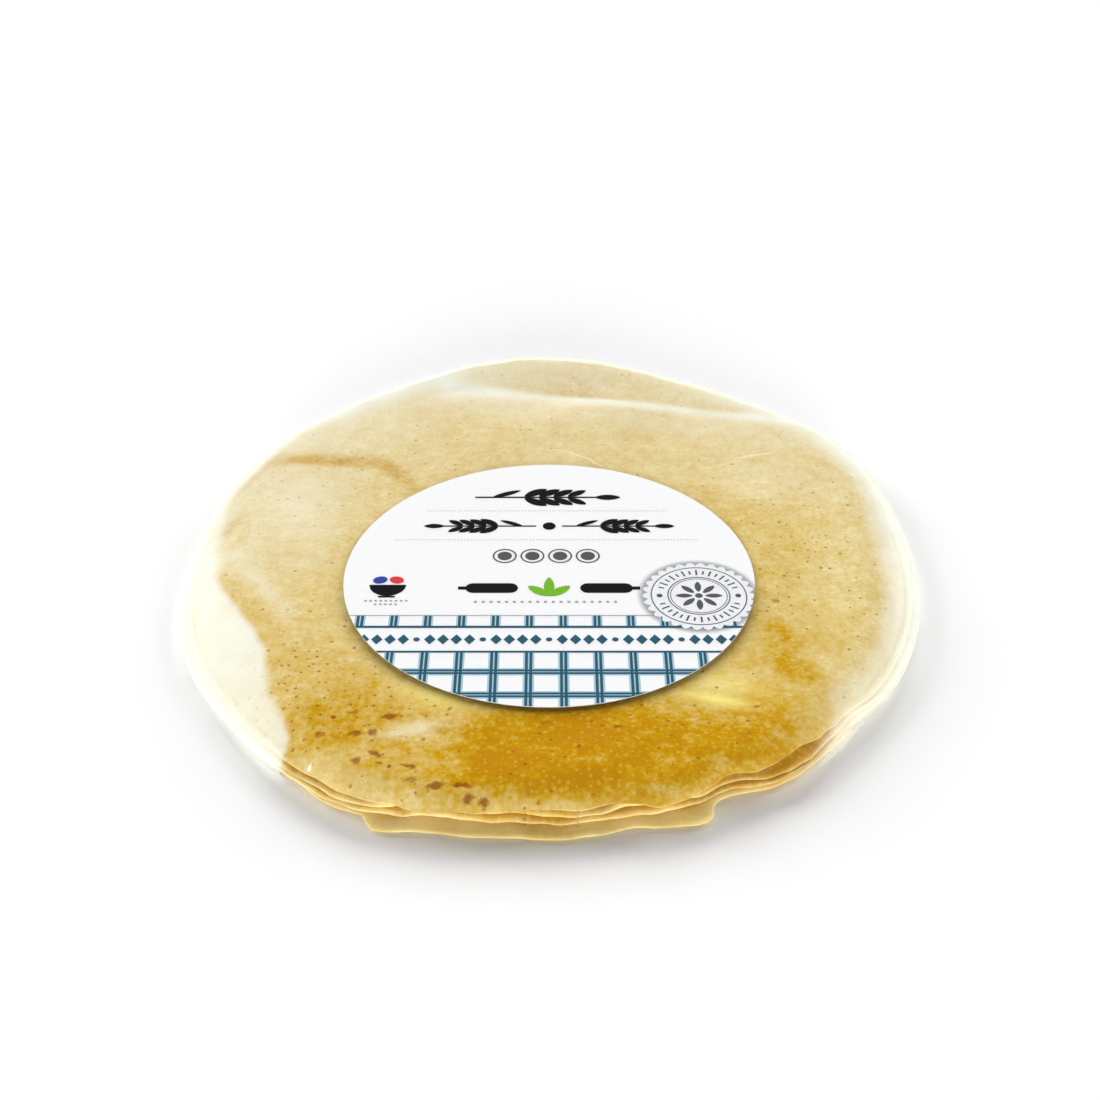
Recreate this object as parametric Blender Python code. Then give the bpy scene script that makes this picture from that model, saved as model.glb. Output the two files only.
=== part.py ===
"""A flat round pack of four thin wheat crepes, wrapped tight in clear film, with a round label.

Metres, +Z up, +Y towards the back of the pack. The origin is on the floor, under the middle of
the pack. The film hugs the stack, so pack and crepes are one solid, whose side shows the four
crepe edges along the front. The label is a thin disc that lies on the flat middle of the top.
"""

import math

import bmesh
import bpy

MM = 0.001

# The outline seen from above: a circle with bulges (angle in degrees, reach, half width in degrees)
RIM_RADIUS = 128.6 * MM
RIM_BULGES = (
    (32.0, 6.4 * MM, 18.0),
    (94.0, 6.1 * MM, 19.0),
    (174.0, -1.0 * MM, 9.0),
    (207.0, 2.0 * MM, 15.0),
    (227.0, 2.6 * MM, 8.0),
    (242.0, 7.8 * MM, 11.0),
    (281.0, -1.3 * MM, 4.0),
    (296.0, -2.4 * MM, 4.0),
    (304.0, 1.8 * MM, 6.0),
)

# The bottom crepe's edge stands out in front as a thin flap
FLAP_REACH = 4.2 * MM
FLAP_START = 245.5
FLAP_END = 293.8
FLAP_START_ROUND = 1.6
FLAP_END_ROUND = 2.4

# Heights round the pack, every 30 degrees from +X by the back: the edge of the top face, and how
# far in from the edge the top face starts to slope down
EDGE_HEIGHTS = (7.8, 12.2, 15.6, 18.0, 15.8, 13.0, 7.4, 6.6, 8.8, 9.9, 9.9, 8.6)
SHOULDER_INSETS = (17.0, 12.0, 10.0, 9.0, 10.0, 15.0, 25.0, 25.0, 12.0, 10.0, 9.0, 13.0)
SHOULDER_ROUNDNESS = 1.9
EDGE_TUCK = 5.5 * MM

# The middle of the top, flat under the label
TOP_HEIGHT = 13.5 * MM
FLAT_RADIUS = 73.0 * MM
FLAT_BLEND = 16.0 * MM

# A shallow valley in the film across the back, and the rim that rises behind it
VALLEY_Y = 103.0 * MM
VALLEY_SLOPE = -0.243
VALLEY_DEPTH = 1.3 * MM
VALLEY_WIDTH = 8.0 * MM
BACK_RISE = 5.2 * MM
BACK_RISE_RUN = 22.0 * MM

# The low waves of the crepes under the film (height, waves round, waves outwards, turn)
TOP_WAVES = (
    (0.45 * MM, 5, 1.5, 0.4),
    (0.35 * MM, 9, 2.5, 2.1),
    (0.20 * MM, 14, 1.0, 4.0),
)

# The curled edge of the top crepe at the upper left
CURL_ANGLE = 157.0
CURL_INSET = 6.0 * MM
CURL_HEIGHT = 1.4 * MM
CURL_HALF_ANGLE = 7.0
CURL_HALF_WIDTH = 4.0 * MM

# The four crepe edges that show along the front
CREPES = 4
LAYERS_FROM = 230.0
LAYERS_TO = 327.0
LAYERS_FADE = 9.0
GROOVE_DEPTH = 1.5 * MM
LAYER_STEP = 0.5 * MM
LAYER_WAVE = 0.45 * MM
TOP_CREPE_BULGES = (
    (256.0, 3.6 * MM, 8.0),
    (285.0, 3.4 * MM, 5.0),
    (306.0, -3.0 * MM, 9.0),
)
SMOOTH_GROOVE = 0.12

# How finely the solid is divided
SEGMENTS = 156
TOP_RINGS = 13
RINGS_A_CREPE = 4
BASE_RINGS = 4
BASE_TUCK = 5.0 * MM

LABEL_CENTRE = (-0.5 * MM, -16.7 * MM)
LABEL_RADIUS = 70.0 * MM
LABEL_THICKNESS = 0.35 * MM
LABEL_GAP = 0.3 * MM
LABEL_SEGMENTS = 128
LABEL_EDGE_BEVEL = 0.08 * MM

WRAP_COLOUR = (0.72, 0.52, 0.20, 1.0)
LABEL_COLOUR = (0.90, 0.90, 0.89, 1.0)


def smooth_step(value):
    """Rise from 0 to 1 with soft ends while value goes from 0 to 1."""
    value = min(1.0, max(0.0, value))
    return value * value * (3.0 - 2.0 * value)


def turn_between(degrees, centre):
    """Give the signed difference of two angles, from -180 to 180 degrees."""
    return (degrees - centre + 180.0) % 360.0 - 180.0


def round_the_pack(values, degrees):
    """Read a smooth closed curve through evenly spaced values at an angle."""
    place = degrees / 360.0 * len(values)
    index = math.floor(place)
    share = place - index
    before, here, after, beyond = (values[(index + step) % len(values)] for step in (-1, 0, 1, 2))
    slope_here = (after - before) / 2.0
    slope_after = (beyond - here) / 2.0
    rise = after - here
    square = 3.0 * rise - 2.0 * slope_here - slope_after
    cube = slope_here + slope_after - 2.0 * rise
    return here + share * (slope_here + share * (square + share * cube))


def add_bulges(bulges, degrees):
    """Sum the bulges of an outline at an angle."""
    total = 0.0
    for centre, reach, half_width in bulges:
        total += reach * math.exp(-(turn_between(degrees, centre) / half_width) ** 2)
    return total


def rim_radius(degrees):
    """Give the reach of the pack from its middle, without the flap."""
    return RIM_RADIUS + add_bulges(RIM_BULGES, degrees)


def layer_weight(degrees):
    """Tell how clearly the crepe edges show: 1 along the front, 0 elsewhere."""
    start = smooth_step((degrees - LAYERS_FROM) / LAYERS_FADE)
    end = smooth_step((LAYERS_TO - degrees) / LAYERS_FADE)
    return start * end


def flap_weight(degrees):
    """Tell how far the bottom crepe's flap stands out, from 0 to 1."""
    start = smooth_step((degrees - FLAP_START) / FLAP_START_ROUND)
    end = smooth_step((FLAP_END - degrees) / FLAP_END_ROUND)
    return start * end


def layer_reach(layer, degrees):
    """Give how far one crepe stands out past the rim, with the bottom crepe as 0."""
    turn = math.radians(degrees)
    wave = math.sin(turn * (11 + 3 * layer) + 1.7 * layer) + 0.6 * math.sin(turn * (23 - 4 * layer) + layer)
    reach = LAYER_WAVE * wave - LAYER_STEP * layer
    if layer == 0:
        reach += FLAP_REACH * flap_weight(degrees)
    if layer == CREPES - 1:
        reach += add_bulges(TOP_CREPE_BULGES, degrees)
    return reach * layer_weight(degrees)


def top_height(x, y, degrees, inset):
    """Give the height of the top face over the floor, before its edge slopes down."""
    from_label = math.hypot(x - LABEL_CENTRE[0], y - LABEL_CENTRE[1])
    free = smooth_step((from_label - FLAT_RADIUS) / FLAT_BLEND)
    turn = math.radians(degrees)
    radius = math.hypot(x, y)
    waves = 0.0
    for height, around, outwards, start in TOP_WAVES:
        waves += height * math.sin(turn * around + outwards * radius / RIM_RADIUS * math.tau + start)
    behind = y - VALLEY_Y - VALLEY_SLOPE * x
    valley = VALLEY_DEPTH * math.exp(-(behind / VALLEY_WIDTH) ** 2)
    rise = BACK_RISE * smooth_step(behind / BACK_RISE_RUN)
    around_curl = turn_between(degrees, CURL_ANGLE) / CURL_HALF_ANGLE
    across_curl = (inset - CURL_INSET) / CURL_HALF_WIDTH
    curl = CURL_HEIGHT * math.exp(-around_curl ** 2 - across_curl ** 2)
    return TOP_HEIGHT + free * (waves - valley + rise + curl)


def top_point(share, degrees):
    """Place a point of the top face, from the middle at share 0 to the edge at share 1."""
    turn = math.radians(degrees)
    weight = layer_weight(degrees)
    edge = rim_radius(degrees) + layer_reach(CREPES - 1, degrees)
    edge -= EDGE_TUCK * (1.0 - weight) + GROOVE_DEPTH * weight
    radius = edge * share
    x = radius * math.cos(turn)
    y = radius * math.sin(turn)
    inset = edge - radius
    full = top_height(x, y, degrees, inset)
    slope = max(0.0, 1.0 - inset / (round_the_pack(SHOULDER_INSETS, degrees) * MM))
    drop = full - round_the_pack(EDGE_HEIGHTS, degrees) * MM
    return x, y, full - drop * slope ** SHOULDER_ROUNDNESS


def side_point(share, degrees):
    """Place a point of the side, from the top face's edge at share 0 to the base at share 1."""
    turn = math.radians(degrees)
    weight = layer_weight(degrees)
    edge_height = top_point(1.0, degrees)[2]
    along = share * CREPES
    layer = CREPES - 1 - min(CREPES - 1, math.floor(along))
    within = along - math.floor(along) if share < 1.0 else 1.0
    bulge = math.sin(math.pi * within)
    if share < 0.5 / CREPES:
        bulge = math.sin(math.pi * share * CREPES)
    round_side = 1.0 - math.sqrt(max(0.0, 1.0 - (2.0 * share - 1.0) ** 2))
    smooth = -EDGE_TUCK * round_side - GROOVE_DEPTH * SMOOTH_GROOVE * (1.0 - bulge)
    stepped = layer_reach(layer, degrees) - GROOVE_DEPTH * (1.0 - bulge ** 0.6)
    radius = rim_radius(degrees) + (1.0 - weight) * smooth + weight * stepped
    return radius * math.cos(turn), radius * math.sin(turn), edge_height * (1.0 - share)


def base_point(share, degrees):
    """Place a point of the flat base, from its edge at share 0 to the middle at share 1."""
    turn = math.radians(degrees)
    radius = (rim_radius(degrees) - BASE_TUCK) * (1.0 - share)
    return radius * math.cos(turn), radius * math.sin(turn), 0.0


def pack_point(ring, degrees):
    """Place a point of the pack on one of its rings, from the middle of the top to that of the base."""
    side_rings = CREPES * RINGS_A_CREPE
    if ring <= TOP_RINGS:
        return top_point((ring / TOP_RINGS) ** 0.72, degrees)
    if ring < TOP_RINGS + side_rings:
        return side_point((ring - TOP_RINGS) / side_rings, degrees)
    return base_point((ring - TOP_RINGS - side_rings) / BASE_RINGS, degrees)


def paint(obj, colour, roughness):
    """Give an object its own plain material."""
    material = bpy.data.materials.new(obj.name)
    material.use_nodes = True
    shader = material.node_tree.nodes["Principled BSDF"]
    shader.inputs["Base Color"].default_value = colour
    shader.inputs["Roughness"].default_value = roughness
    shader.inputs["Metallic"].default_value = 0.0
    obj.data.materials.append(material)


def add_object(name, mesh_tools, collection):
    """Turn a bmesh into a named object of the pack."""
    mesh = bpy.data.meshes.new(name)
    mesh_tools.to_mesh(mesh)
    mesh_tools.free()
    mesh.shade_smooth()
    mesh.set_sharp_from_angle(angle=math.radians(40.0))
    obj = bpy.data.objects.new(name, mesh)
    collection.objects.link(obj)
    return obj


def build_wrapped_crepes(collection):
    """Model the wrapped stack: a globe whose rings are laid onto the pack's top, side and base."""
    rings = TOP_RINGS + CREPES * RINGS_A_CREPE + BASE_RINGS
    tools = bmesh.new()
    bmesh.ops.create_uvsphere(tools, u_segments=SEGMENTS, v_segments=rings, radius=1.0)
    for vertex in tools.verts:
        globe = vertex.co.normalized()
        ring = round(math.acos(max(-1.0, min(1.0, globe.z))) / math.pi * rings)
        degrees = math.degrees(math.atan2(globe.y, globe.x)) % 360.0
        vertex.co = pack_point(ring, degrees)
    pack = add_object("wrapped_crepes", tools, collection)
    paint(pack, WRAP_COLOUR, 0.30)


def build_label(collection):
    """Model the label: a thin disc with a softened edge, just above the film."""
    tools = bmesh.new()
    bmesh.ops.create_cone(tools, cap_ends=True, segments=LABEL_SEGMENTS, radius1=LABEL_RADIUS,
                          radius2=LABEL_RADIUS, depth=LABEL_THICKNESS)
    rim = [edge for edge in tools.edges if abs(edge.verts[0].co.z - edge.verts[1].co.z) < LABEL_THICKNESS / 2.0]
    bmesh.ops.bevel(tools, geom=rim, offset=LABEL_EDGE_BEVEL, segments=1, profile=0.5, affect="EDGES")
    label = add_object("label", tools, collection)
    label.location = (*LABEL_CENTRE, TOP_HEIGHT + LABEL_GAP + LABEL_THICKNESS / 2.0)
    paint(label, LABEL_COLOUR, 0.45)


def main():
    """Clear the scene and build the pack."""
    for obj in list(bpy.data.objects):
        bpy.data.objects.remove(obj, do_unlink=True)
    collection = bpy.data.collections.new("crepe_pack")
    bpy.context.scene.collection.children.link(collection)
    build_wrapped_crepes(collection)
    build_label(collection)


main()
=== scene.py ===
"""Looks for a flat round pack of four thin wheat crepes in clear film, with a label on top.

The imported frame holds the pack's solids. Clear film and four separate crepes replace the solid
wrapped_crepes, and the label keeps its solid and gets its paper, its print and its seal. All
lengths are metres in the frame's own axes: +Z up, +Y towards the back of the pack.
"""

from __future__ import annotations

import logging
import math
from dataclasses import dataclass, field
from enum import Enum
from functools import cache
from typing import Callable, Sequence

import bpy
import numpy as np
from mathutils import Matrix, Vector, noise

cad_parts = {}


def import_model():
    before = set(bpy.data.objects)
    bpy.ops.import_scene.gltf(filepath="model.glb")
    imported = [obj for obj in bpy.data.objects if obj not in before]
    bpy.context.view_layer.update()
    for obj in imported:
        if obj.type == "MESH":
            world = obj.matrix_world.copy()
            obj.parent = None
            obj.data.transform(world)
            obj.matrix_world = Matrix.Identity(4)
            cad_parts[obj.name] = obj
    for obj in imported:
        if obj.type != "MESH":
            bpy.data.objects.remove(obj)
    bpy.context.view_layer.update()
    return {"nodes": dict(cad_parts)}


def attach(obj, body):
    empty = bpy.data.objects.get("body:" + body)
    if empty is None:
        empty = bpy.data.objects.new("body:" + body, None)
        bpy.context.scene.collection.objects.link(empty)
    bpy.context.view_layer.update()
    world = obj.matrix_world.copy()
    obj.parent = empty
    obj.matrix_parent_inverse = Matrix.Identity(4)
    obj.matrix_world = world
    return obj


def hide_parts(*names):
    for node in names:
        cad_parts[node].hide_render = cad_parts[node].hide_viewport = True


log = logging.getLogger("crepe_pack")

MM = 0.001
FULL_TURN = 360.0
RIM_RADIUS = 128.6 * MM
LABEL_CENTRE = (-0.5 * MM, -16.7 * MM)
LABEL_TOP = 14.15 * MM
LABEL_RADIUS = 70.0 * MM
RING_SPREAD = 0.85
NOISE_RANGE = (0.3, 0.7)
PIT_UNEVENNESS = 1.0 / 420.0

Array = np.ndarray
Colour = tuple[float, float, float, float]
Socket = bpy.types.NodeSocket


class Node(Enum):
    """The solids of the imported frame."""

    WRAPPED_CREPES = "wrapped_crepes"
    LABEL = "label"


class Slot(Enum):
    """The material slots that the record names."""

    CREPE = "crepe"
    FILM = "film"
    LABEL = "label"
    PRINT = "print"


def paint(red: int, green: int, blue: int) -> Colour:
    """Turn a screen colour from 0 to 255 into the linear colour that shaders take.

    Args:
        red: The screen value of red.
        green: The screen value of green.
        blue: The screen value of blue.

    Returns:
        The linear colour with full alpha.
    """

    def linear(value: int) -> float:
        """Undo the screen's transfer curve for one channel."""
        share = value / 255.0
        return share / 12.92 if share <= 0.04045 else ((share + 0.055) / 1.055) ** 2.4

    return linear(red), linear(green), linear(blue), 1.0


def smooth_step(value: Array | float) -> Array | float:
    """Rise from 0 to 1 with soft ends while value goes from 0 to 1."""
    value = np.clip(value, 0.0, 1.0)
    return value * value * (3.0 - 2.0 * value)


def ramp(value: Array | float, start: float, run: float) -> Array | float:
    """Rise softly from 0 at the start to 1 one run past it."""
    return smooth_step((value - start) / run)


def from_to(ends: tuple[float, float], share: Array) -> Array:
    """Go from the first of two values to the second while the share goes from 0 to 1."""
    return ends[0] + (ends[1] - ends[0]) * share


def angle_of(x: Array, y: Array) -> Array:
    """Give where round the pack each place lies, from 0 to 360 degrees."""
    return np.degrees(np.arctan2(y, x)) % FULL_TURN


def turn_between(degrees: Array | float, centre: float) -> Array | float:
    """Give the signed difference of two angles, from -180 to 180 degrees."""
    return (degrees - centre + 180.0) % FULL_TURN - 180.0


def wavy(points: Array, scale: float, seed: float) -> Array:
    """Read soft noise at many points.

    Args:
        points: The places, one row of three metres each.
        scale: The size of the noise's bumps, in metres.
        seed: A shift that gives each use its own noise.

    Returns:
        One value from about -1 to 1 for each place.
    """
    shift = Vector((seed, seed * 0.37, -seed))
    return np.array([noise.noise(Vector(place) / scale + shift) for place in points])


@cache
def rim_marks(scale: float, seed: float) -> tuple[Array, Array]:
    """Work out soft noise at closely spaced marks along the rim.

    Args:
        scale: The size of the noise's bumps along the rim, in metres.
        seed: A shift that gives each use its own noise.

    Returns:
        The marks' angles and the noise there.
    """
    marks = np.linspace(0.0, FULL_TURN, 1441)
    turn = np.radians(marks)
    ring = np.stack([np.cos(turn), np.sin(turn), np.zeros_like(turn)], axis=1) * RIM_RADIUS
    return marks, wavy(ring, scale, seed)


def wavy_rim(degrees: Array, scale: float, seed: float) -> Array:
    """Read soft noise along the rim of the pack.

    Args:
        degrees: The angles to read.
        scale: The size of the noise's bumps along the rim, in metres.
        seed: A shift that gives each use its own noise.

    Returns:
        One value from about -1 to 1 for each angle.
    """
    marks, values = rim_marks(scale, seed)
    return np.interp(degrees, marks, values)


def rim_waves(degrees: Array, waves: Sequence[tuple[float, float, float]]) -> Array:
    """Sum soft noises along the rim, each given by its weight, its size and its seed."""
    return sum(weight * wavy_rim(degrees, size, seed) for weight, size, seed in waves)


def deselect_all() -> None:
    """Leave no object selected, so that the next operator acts on the new piece alone."""
    bpy.ops.object.select_all(action="DESELECT")


def pick(obj: bpy.types.Object) -> None:
    """Make one object the selected and active one."""
    deselect_all()
    obj.select_set(True)
    bpy.context.view_layer.objects.active = obj


def settle(obj: bpy.types.Object) -> None:
    """Move an object's place, turn and scale into its mesh."""
    pick(obj)
    bpy.ops.object.transform_apply(location=True, rotation=True, scale=True)


def apply_modifiers(obj: bpy.types.Object) -> None:
    """Apply every modifier of an object in order."""
    pick(obj)
    for modifier in list(obj.modifiers):
        bpy.ops.object.modifier_apply(modifier=modifier.name)


def smooth_shade(obj: bpy.types.Object, degrees: float = 60.0) -> None:
    """Shade a piece smooth, with sharp edges past an angle."""
    pick(obj)
    bpy.ops.object.shade_smooth_by_angle(angle=math.radians(degrees))


def read_places(obj: bpy.types.Object) -> Array:
    """Read a mesh's vertex places, one row of three metres each."""
    flat = np.zeros(len(obj.data.vertices) * 3)
    obj.data.vertices.foreach_get("co", flat)
    return flat.reshape(-1, 3)


def write_places(obj: bpy.types.Object, places: Array) -> None:
    """Move a mesh's vertices to new places."""
    obj.data.vertices.foreach_set("co", places.ravel())
    obj.data.update()


def store(obj: bpy.types.Object, name: str, values: Array) -> None:
    """Keep one value for each vertex of a piece, for its material to read."""
    attribute = obj.data.attributes.new(name, "FLOAT", "POINT")
    attribute.data.foreach_set("value", np.asarray(np.clip(values, 0.0, 1.0), dtype=np.float32))


@dataclass(frozen=True)
class Bulge:
    """A soft bulge of an outline.

    Attributes:
        degrees: Where round the pack the bulge stands.
        reach: How far it stands out.
        half_width: Its half width in degrees.
    """

    degrees: float
    reach: float
    half_width: float

    def at(self, degrees: Array) -> Array:
        """Give how far the bulge stands out at each angle."""
        return self.reach * np.exp(-(turn_between(degrees, self.degrees) / self.half_width) ** 2)


@dataclass(frozen=True)
class Patch:
    """A soft patch on a face, such as a browner or paler area or a dent.

    Attributes:
        centre: Its middle, in millimetres from the pack's middle.
        size: Its half sizes across and along, in millimetres.
        weight: How much it adds.
        turn: Its turn in degrees.
    """

    centre: tuple[float, float]
    size: tuple[float, float]
    weight: float
    turn: float = 0.0

    def at(self, x: Array, y: Array) -> Array:
        """Give what the patch adds at each place, given in metres."""
        angle = math.radians(self.turn)
        across = x / MM - self.centre[0]
        along = y / MM - self.centre[1]
        first = (across * math.cos(angle) + along * math.sin(angle)) / self.size[0]
        second = (along * math.cos(angle) - across * math.sin(angle)) / self.size[1]
        return self.weight * np.exp(-first ** 2 - second ** 2)


def add_patches(patches: Sequence[Patch], x: Array, y: Array) -> Array:
    """Sum patches at each place, given in metres."""
    return sum((patch.at(x, y) for patch in patches), np.zeros_like(x))


@dataclass(frozen=True)
class PackForm:
    """The pack's outer form, worked out at any place round and across it."""

    rim_bulges: tuple[Bulge, ...] = (
        Bulge(32.0, 6.4 * MM, 18.0),
        Bulge(94.0, 6.1 * MM, 19.0),
        Bulge(174.0, -1.0 * MM, 9.0),
        Bulge(207.0, 2.0 * MM, 15.0),
        Bulge(227.0, 2.6 * MM, 8.0),
        Bulge(242.0, 6.9 * MM, 11.0),
        Bulge(281.0, -1.3 * MM, 4.0),
        Bulge(296.0, -2.4 * MM, 4.0),
        Bulge(304.0, 1.8 * MM, 6.0),
        Bulge(319.0, -1.5 * MM, 5.0),
    )
    flap_reach: float = 4.2 * MM
    flap_span: tuple[float, float] = (245.5, 293.2)
    flap_rounds: tuple[float, float] = (1.6, 2.2)
    flap_bulges: tuple[Bulge, ...] = (
        Bulge(249.0, 1.4 * MM, 3.0),
        Bulge(280.5, -0.8 * MM, 3.5),
        Bulge(289.6, 2.0 * MM, 2.2),
    )
    flap_waves: float = 0.45
    edge_heights: tuple[float, ...] = (
        7.8, 12.2, 15.6, 18.0, 15.8, 13.0, 7.4, 6.6, 8.8, 9.9, 9.9, 8.6,
    )
    shoulder_insets: tuple[float, ...] = (
        17.0, 12.0, 10.0, 9.0, 10.0, 15.0, 25.0, 25.0, 12.0, 10.0, 9.0, 13.0,
    )
    shoulder_roundness: float = 1.9
    edge_tuck: float = 5.5 * MM
    top_height: float = 13.5 * MM
    flat_radius: float = 73.0 * MM
    flat_blend: float = 16.0 * MM
    valley_y: float = 107.5 * MM
    valley_slope: float = -0.205
    valley_depth: float = 0.9 * MM
    valley_width: float = 8.0 * MM
    back_rise: float = 4.2 * MM
    back_rise_run: float = 32.0 * MM
    top_waves: tuple[tuple[float, float, float, float], ...] = (
        (0.45 * MM, 5.0, 1.5, 0.4),
        (0.35 * MM, 9.0, 2.5, 2.1),
        (0.20 * MM, 14.0, 1.0, 4.0),
    )
    curl: Bulge = Bulge(156.0, 1.5 * MM, 6.0)
    curl_inset: float = 2.5 * MM
    curl_half_width: float = 2.6 * MM
    dents: tuple[Patch, ...] = (
        Patch((-85.0, 55.5), (20.0, 3.4), -0.30, -2.0),
        Patch((-57.0, 46.5), (10.0, 3.2), -0.26, -50.0),
        Patch((-116.0, 15.0), (8.0, 3.0), -0.50, 62.0),
        Patch((-101.0, -17.0), (22.0, 5.0), 0.24, -55.0),
        Patch((79.0, -97.0), (8.0, 1.6), 0.35, 50.0),
        Patch((53.0, -82.5), (13.0, 2.4), 0.40, -18.0),
    )
    crepes: int = 4
    layers_span: tuple[float, float] = (230.0, 327.0)
    layers_fade: float = 9.0
    groove_depth: float = 1.5 * MM
    layer_step: float = 0.5 * MM
    layer_waves: tuple[tuple[float, float], ...] = ((1.4 * MM, 19.0 * MM), (0.9 * MM, 6.5 * MM))
    top_crepe_bulges: tuple[Bulge, ...] = (
        Bulge(256.0, 3.6 * MM, 8.0),
        Bulge(285.0, 3.4 * MM, 5.0),
        Bulge(306.0, -2.0 * MM, 9.0),
    )
    smooth_groove: float = 0.12
    base_tuck: float = 5.0 * MM
    edge_sway: float = 0.17
    edge_sway_size: float = 13.0 * MM
    edge_sway_fade: float = 12.0 * MM

    @staticmethod
    def round_the_pack(values: Sequence[float], degrees: Array) -> Array:
        """Read a smooth closed curve through evenly spaced values at each angle.

        Args:
            values: The values, evenly spaced from +X by the back.
            degrees: The angles to read.

        Returns:
            The curve's value at each angle.
        """
        knots = np.array(values)
        place = degrees / FULL_TURN * len(knots)
        index = np.floor(place).astype(int)
        share = place - index
        before, here, after, beyond = (knots[(index + step) % len(knots)] for step in (-1, 0, 1, 2))
        slope_here = (after - before) / 2.0
        slope_after = (beyond - here) / 2.0
        rise = after - here
        square = 3.0 * rise - 2.0 * slope_here - slope_after
        cube = slope_here + slope_after - 2.0 * rise
        return here + share * (slope_here + share * (square + share * cube))

    def rim(self, degrees: Array) -> Array:
        """Give the reach of the pack from its middle, without the flap."""
        return RIM_RADIUS + sum(bulge.at(degrees) for bulge in self.rim_bulges)

    def layered(self, degrees: Array) -> Array:
        """Tell how clearly the crepe edges show: 1 along the front, 0 elsewhere."""
        start = smooth_step((degrees - self.layers_span[0]) / self.layers_fade)
        end = smooth_step((self.layers_span[1] - degrees) / self.layers_fade)
        return start * end

    def flap(self, degrees: Array) -> Array:
        """Tell how far the bottom crepe's flap stands out, from 0 to 1."""
        start = smooth_step((degrees - self.flap_span[0]) / self.flap_rounds[0])
        end = smooth_step((self.flap_span[1] - degrees) / self.flap_rounds[1])
        return start * end

    def layer_reach(self, layer: int, degrees: Array) -> Array:
        """Give how far one crepe stands out past the rim, with the bottom crepe as 0."""
        reach = np.full_like(degrees, -self.layer_step * layer)
        share = 1.0 if layer else self.flap_waves
        for height, size in self.layer_waves:
            reach = reach + share * height * wavy_rim(degrees, size, 41.0 + 9.0 * layer)
        if layer == 0:
            reach = reach + self.flap_reach * self.flap(degrees)
            reach = reach + sum(bulge.at(degrees) for bulge in self.flap_bulges)
        if layer == self.crepes - 1:
            reach = reach + sum(bulge.at(degrees) for bulge in self.top_crepe_bulges)
        return reach * self.layered(degrees)

    def interface(self, level: int, inset: Array, degrees: Array) -> Array:
        """Give the height between two crepes, as a share of the pack's height there.

        Args:
            level: How many crepes lie below, from 0 at the floor to all of them at the top.
            inset: How far inside the rim each place lies.
            degrees: Where round the pack it lies.

        Returns:
            The share from 0 to 1.
        """
        level_share = level / self.crepes
        if level in (0, self.crepes):
            return np.full_like(degrees, level_share)
        sway = wavy_rim(degrees, self.edge_sway_size, 21.0 + 5.0 * level)
        fade = np.exp(-np.maximum(0.0, inset) / self.edge_sway_fade)
        return level_share + self.edge_sway * sway * fade

    def top_edge(self, degrees: Array) -> Array:
        """Give the radius at which the top face ends."""
        weight = self.layered(degrees)
        edge = self.rim(degrees) + self.layer_reach(self.crepes - 1, degrees)
        return edge - self.edge_tuck * (1.0 - weight) - self.groove_depth * weight

    def behind_valley(self, x: Array, y: Array) -> Array:
        """Give how far behind the film's valley line each place lies."""
        return y - self.valley_y - self.valley_slope * x

    def free_of_label(self, x: Array, y: Array) -> Array:
        """Tell how free of the flat middle each place is, from 0 under the label to 1."""
        from_label = np.hypot(x - LABEL_CENTRE[0], y - LABEL_CENTRE[1])
        return smooth_step((from_label - self.flat_radius) / self.flat_blend)

    def top_height_at(self, radius: Array, degrees: Array) -> Array:
        """Give the height of the film's top face over the floor.

        Args:
            radius: How far from the pack's middle each place lies.
            degrees: Where round the pack it lies.

        Returns:
            The heights, held at the edge's height past the edge.
        """
        turn = np.radians(degrees)
        x = radius * np.cos(turn)
        y = radius * np.sin(turn)
        inset = np.maximum(0.0, self.top_edge(degrees) - radius)
        waves = np.zeros_like(radius)
        for height, around, outwards, start in self.top_waves:
            ripple = np.sin(turn * around + outwards * radius / RIM_RADIUS * math.tau + start)
            waves = waves + height * ripple
        behind = self.behind_valley(x, y)
        valley = self.valley_depth * np.exp(-(behind / self.valley_width) ** 2)
        rise = self.back_rise * smooth_step(behind / self.back_rise_run)
        across = (inset - self.curl_inset) / self.curl_half_width
        curl = self.curl.at(degrees) * np.exp(-across ** 2)
        dents = add_patches(self.dents, x, y) * MM
        full = self.top_height + self.free_of_label(x, y) * (waves - valley + rise + curl + dents)
        shoulder = self.round_the_pack(self.shoulder_insets, degrees) * MM
        slope = np.maximum(0.0, 1.0 - inset / shoulder)
        drop = full - self.round_the_pack(self.edge_heights, degrees) * MM
        return full - drop * slope ** self.shoulder_roundness

    @staticmethod
    def neighbours(rows: Sequence[Array], step: Array) -> tuple[Array, Array]:
        """Take each place's value from the row that its step names, and from the row after it."""
        stack = np.stack(rows)
        above, below = (np.take_along_axis(stack, step[None, :] + after, axis=0)[0] for after in (0, 1))
        return above, below

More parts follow.
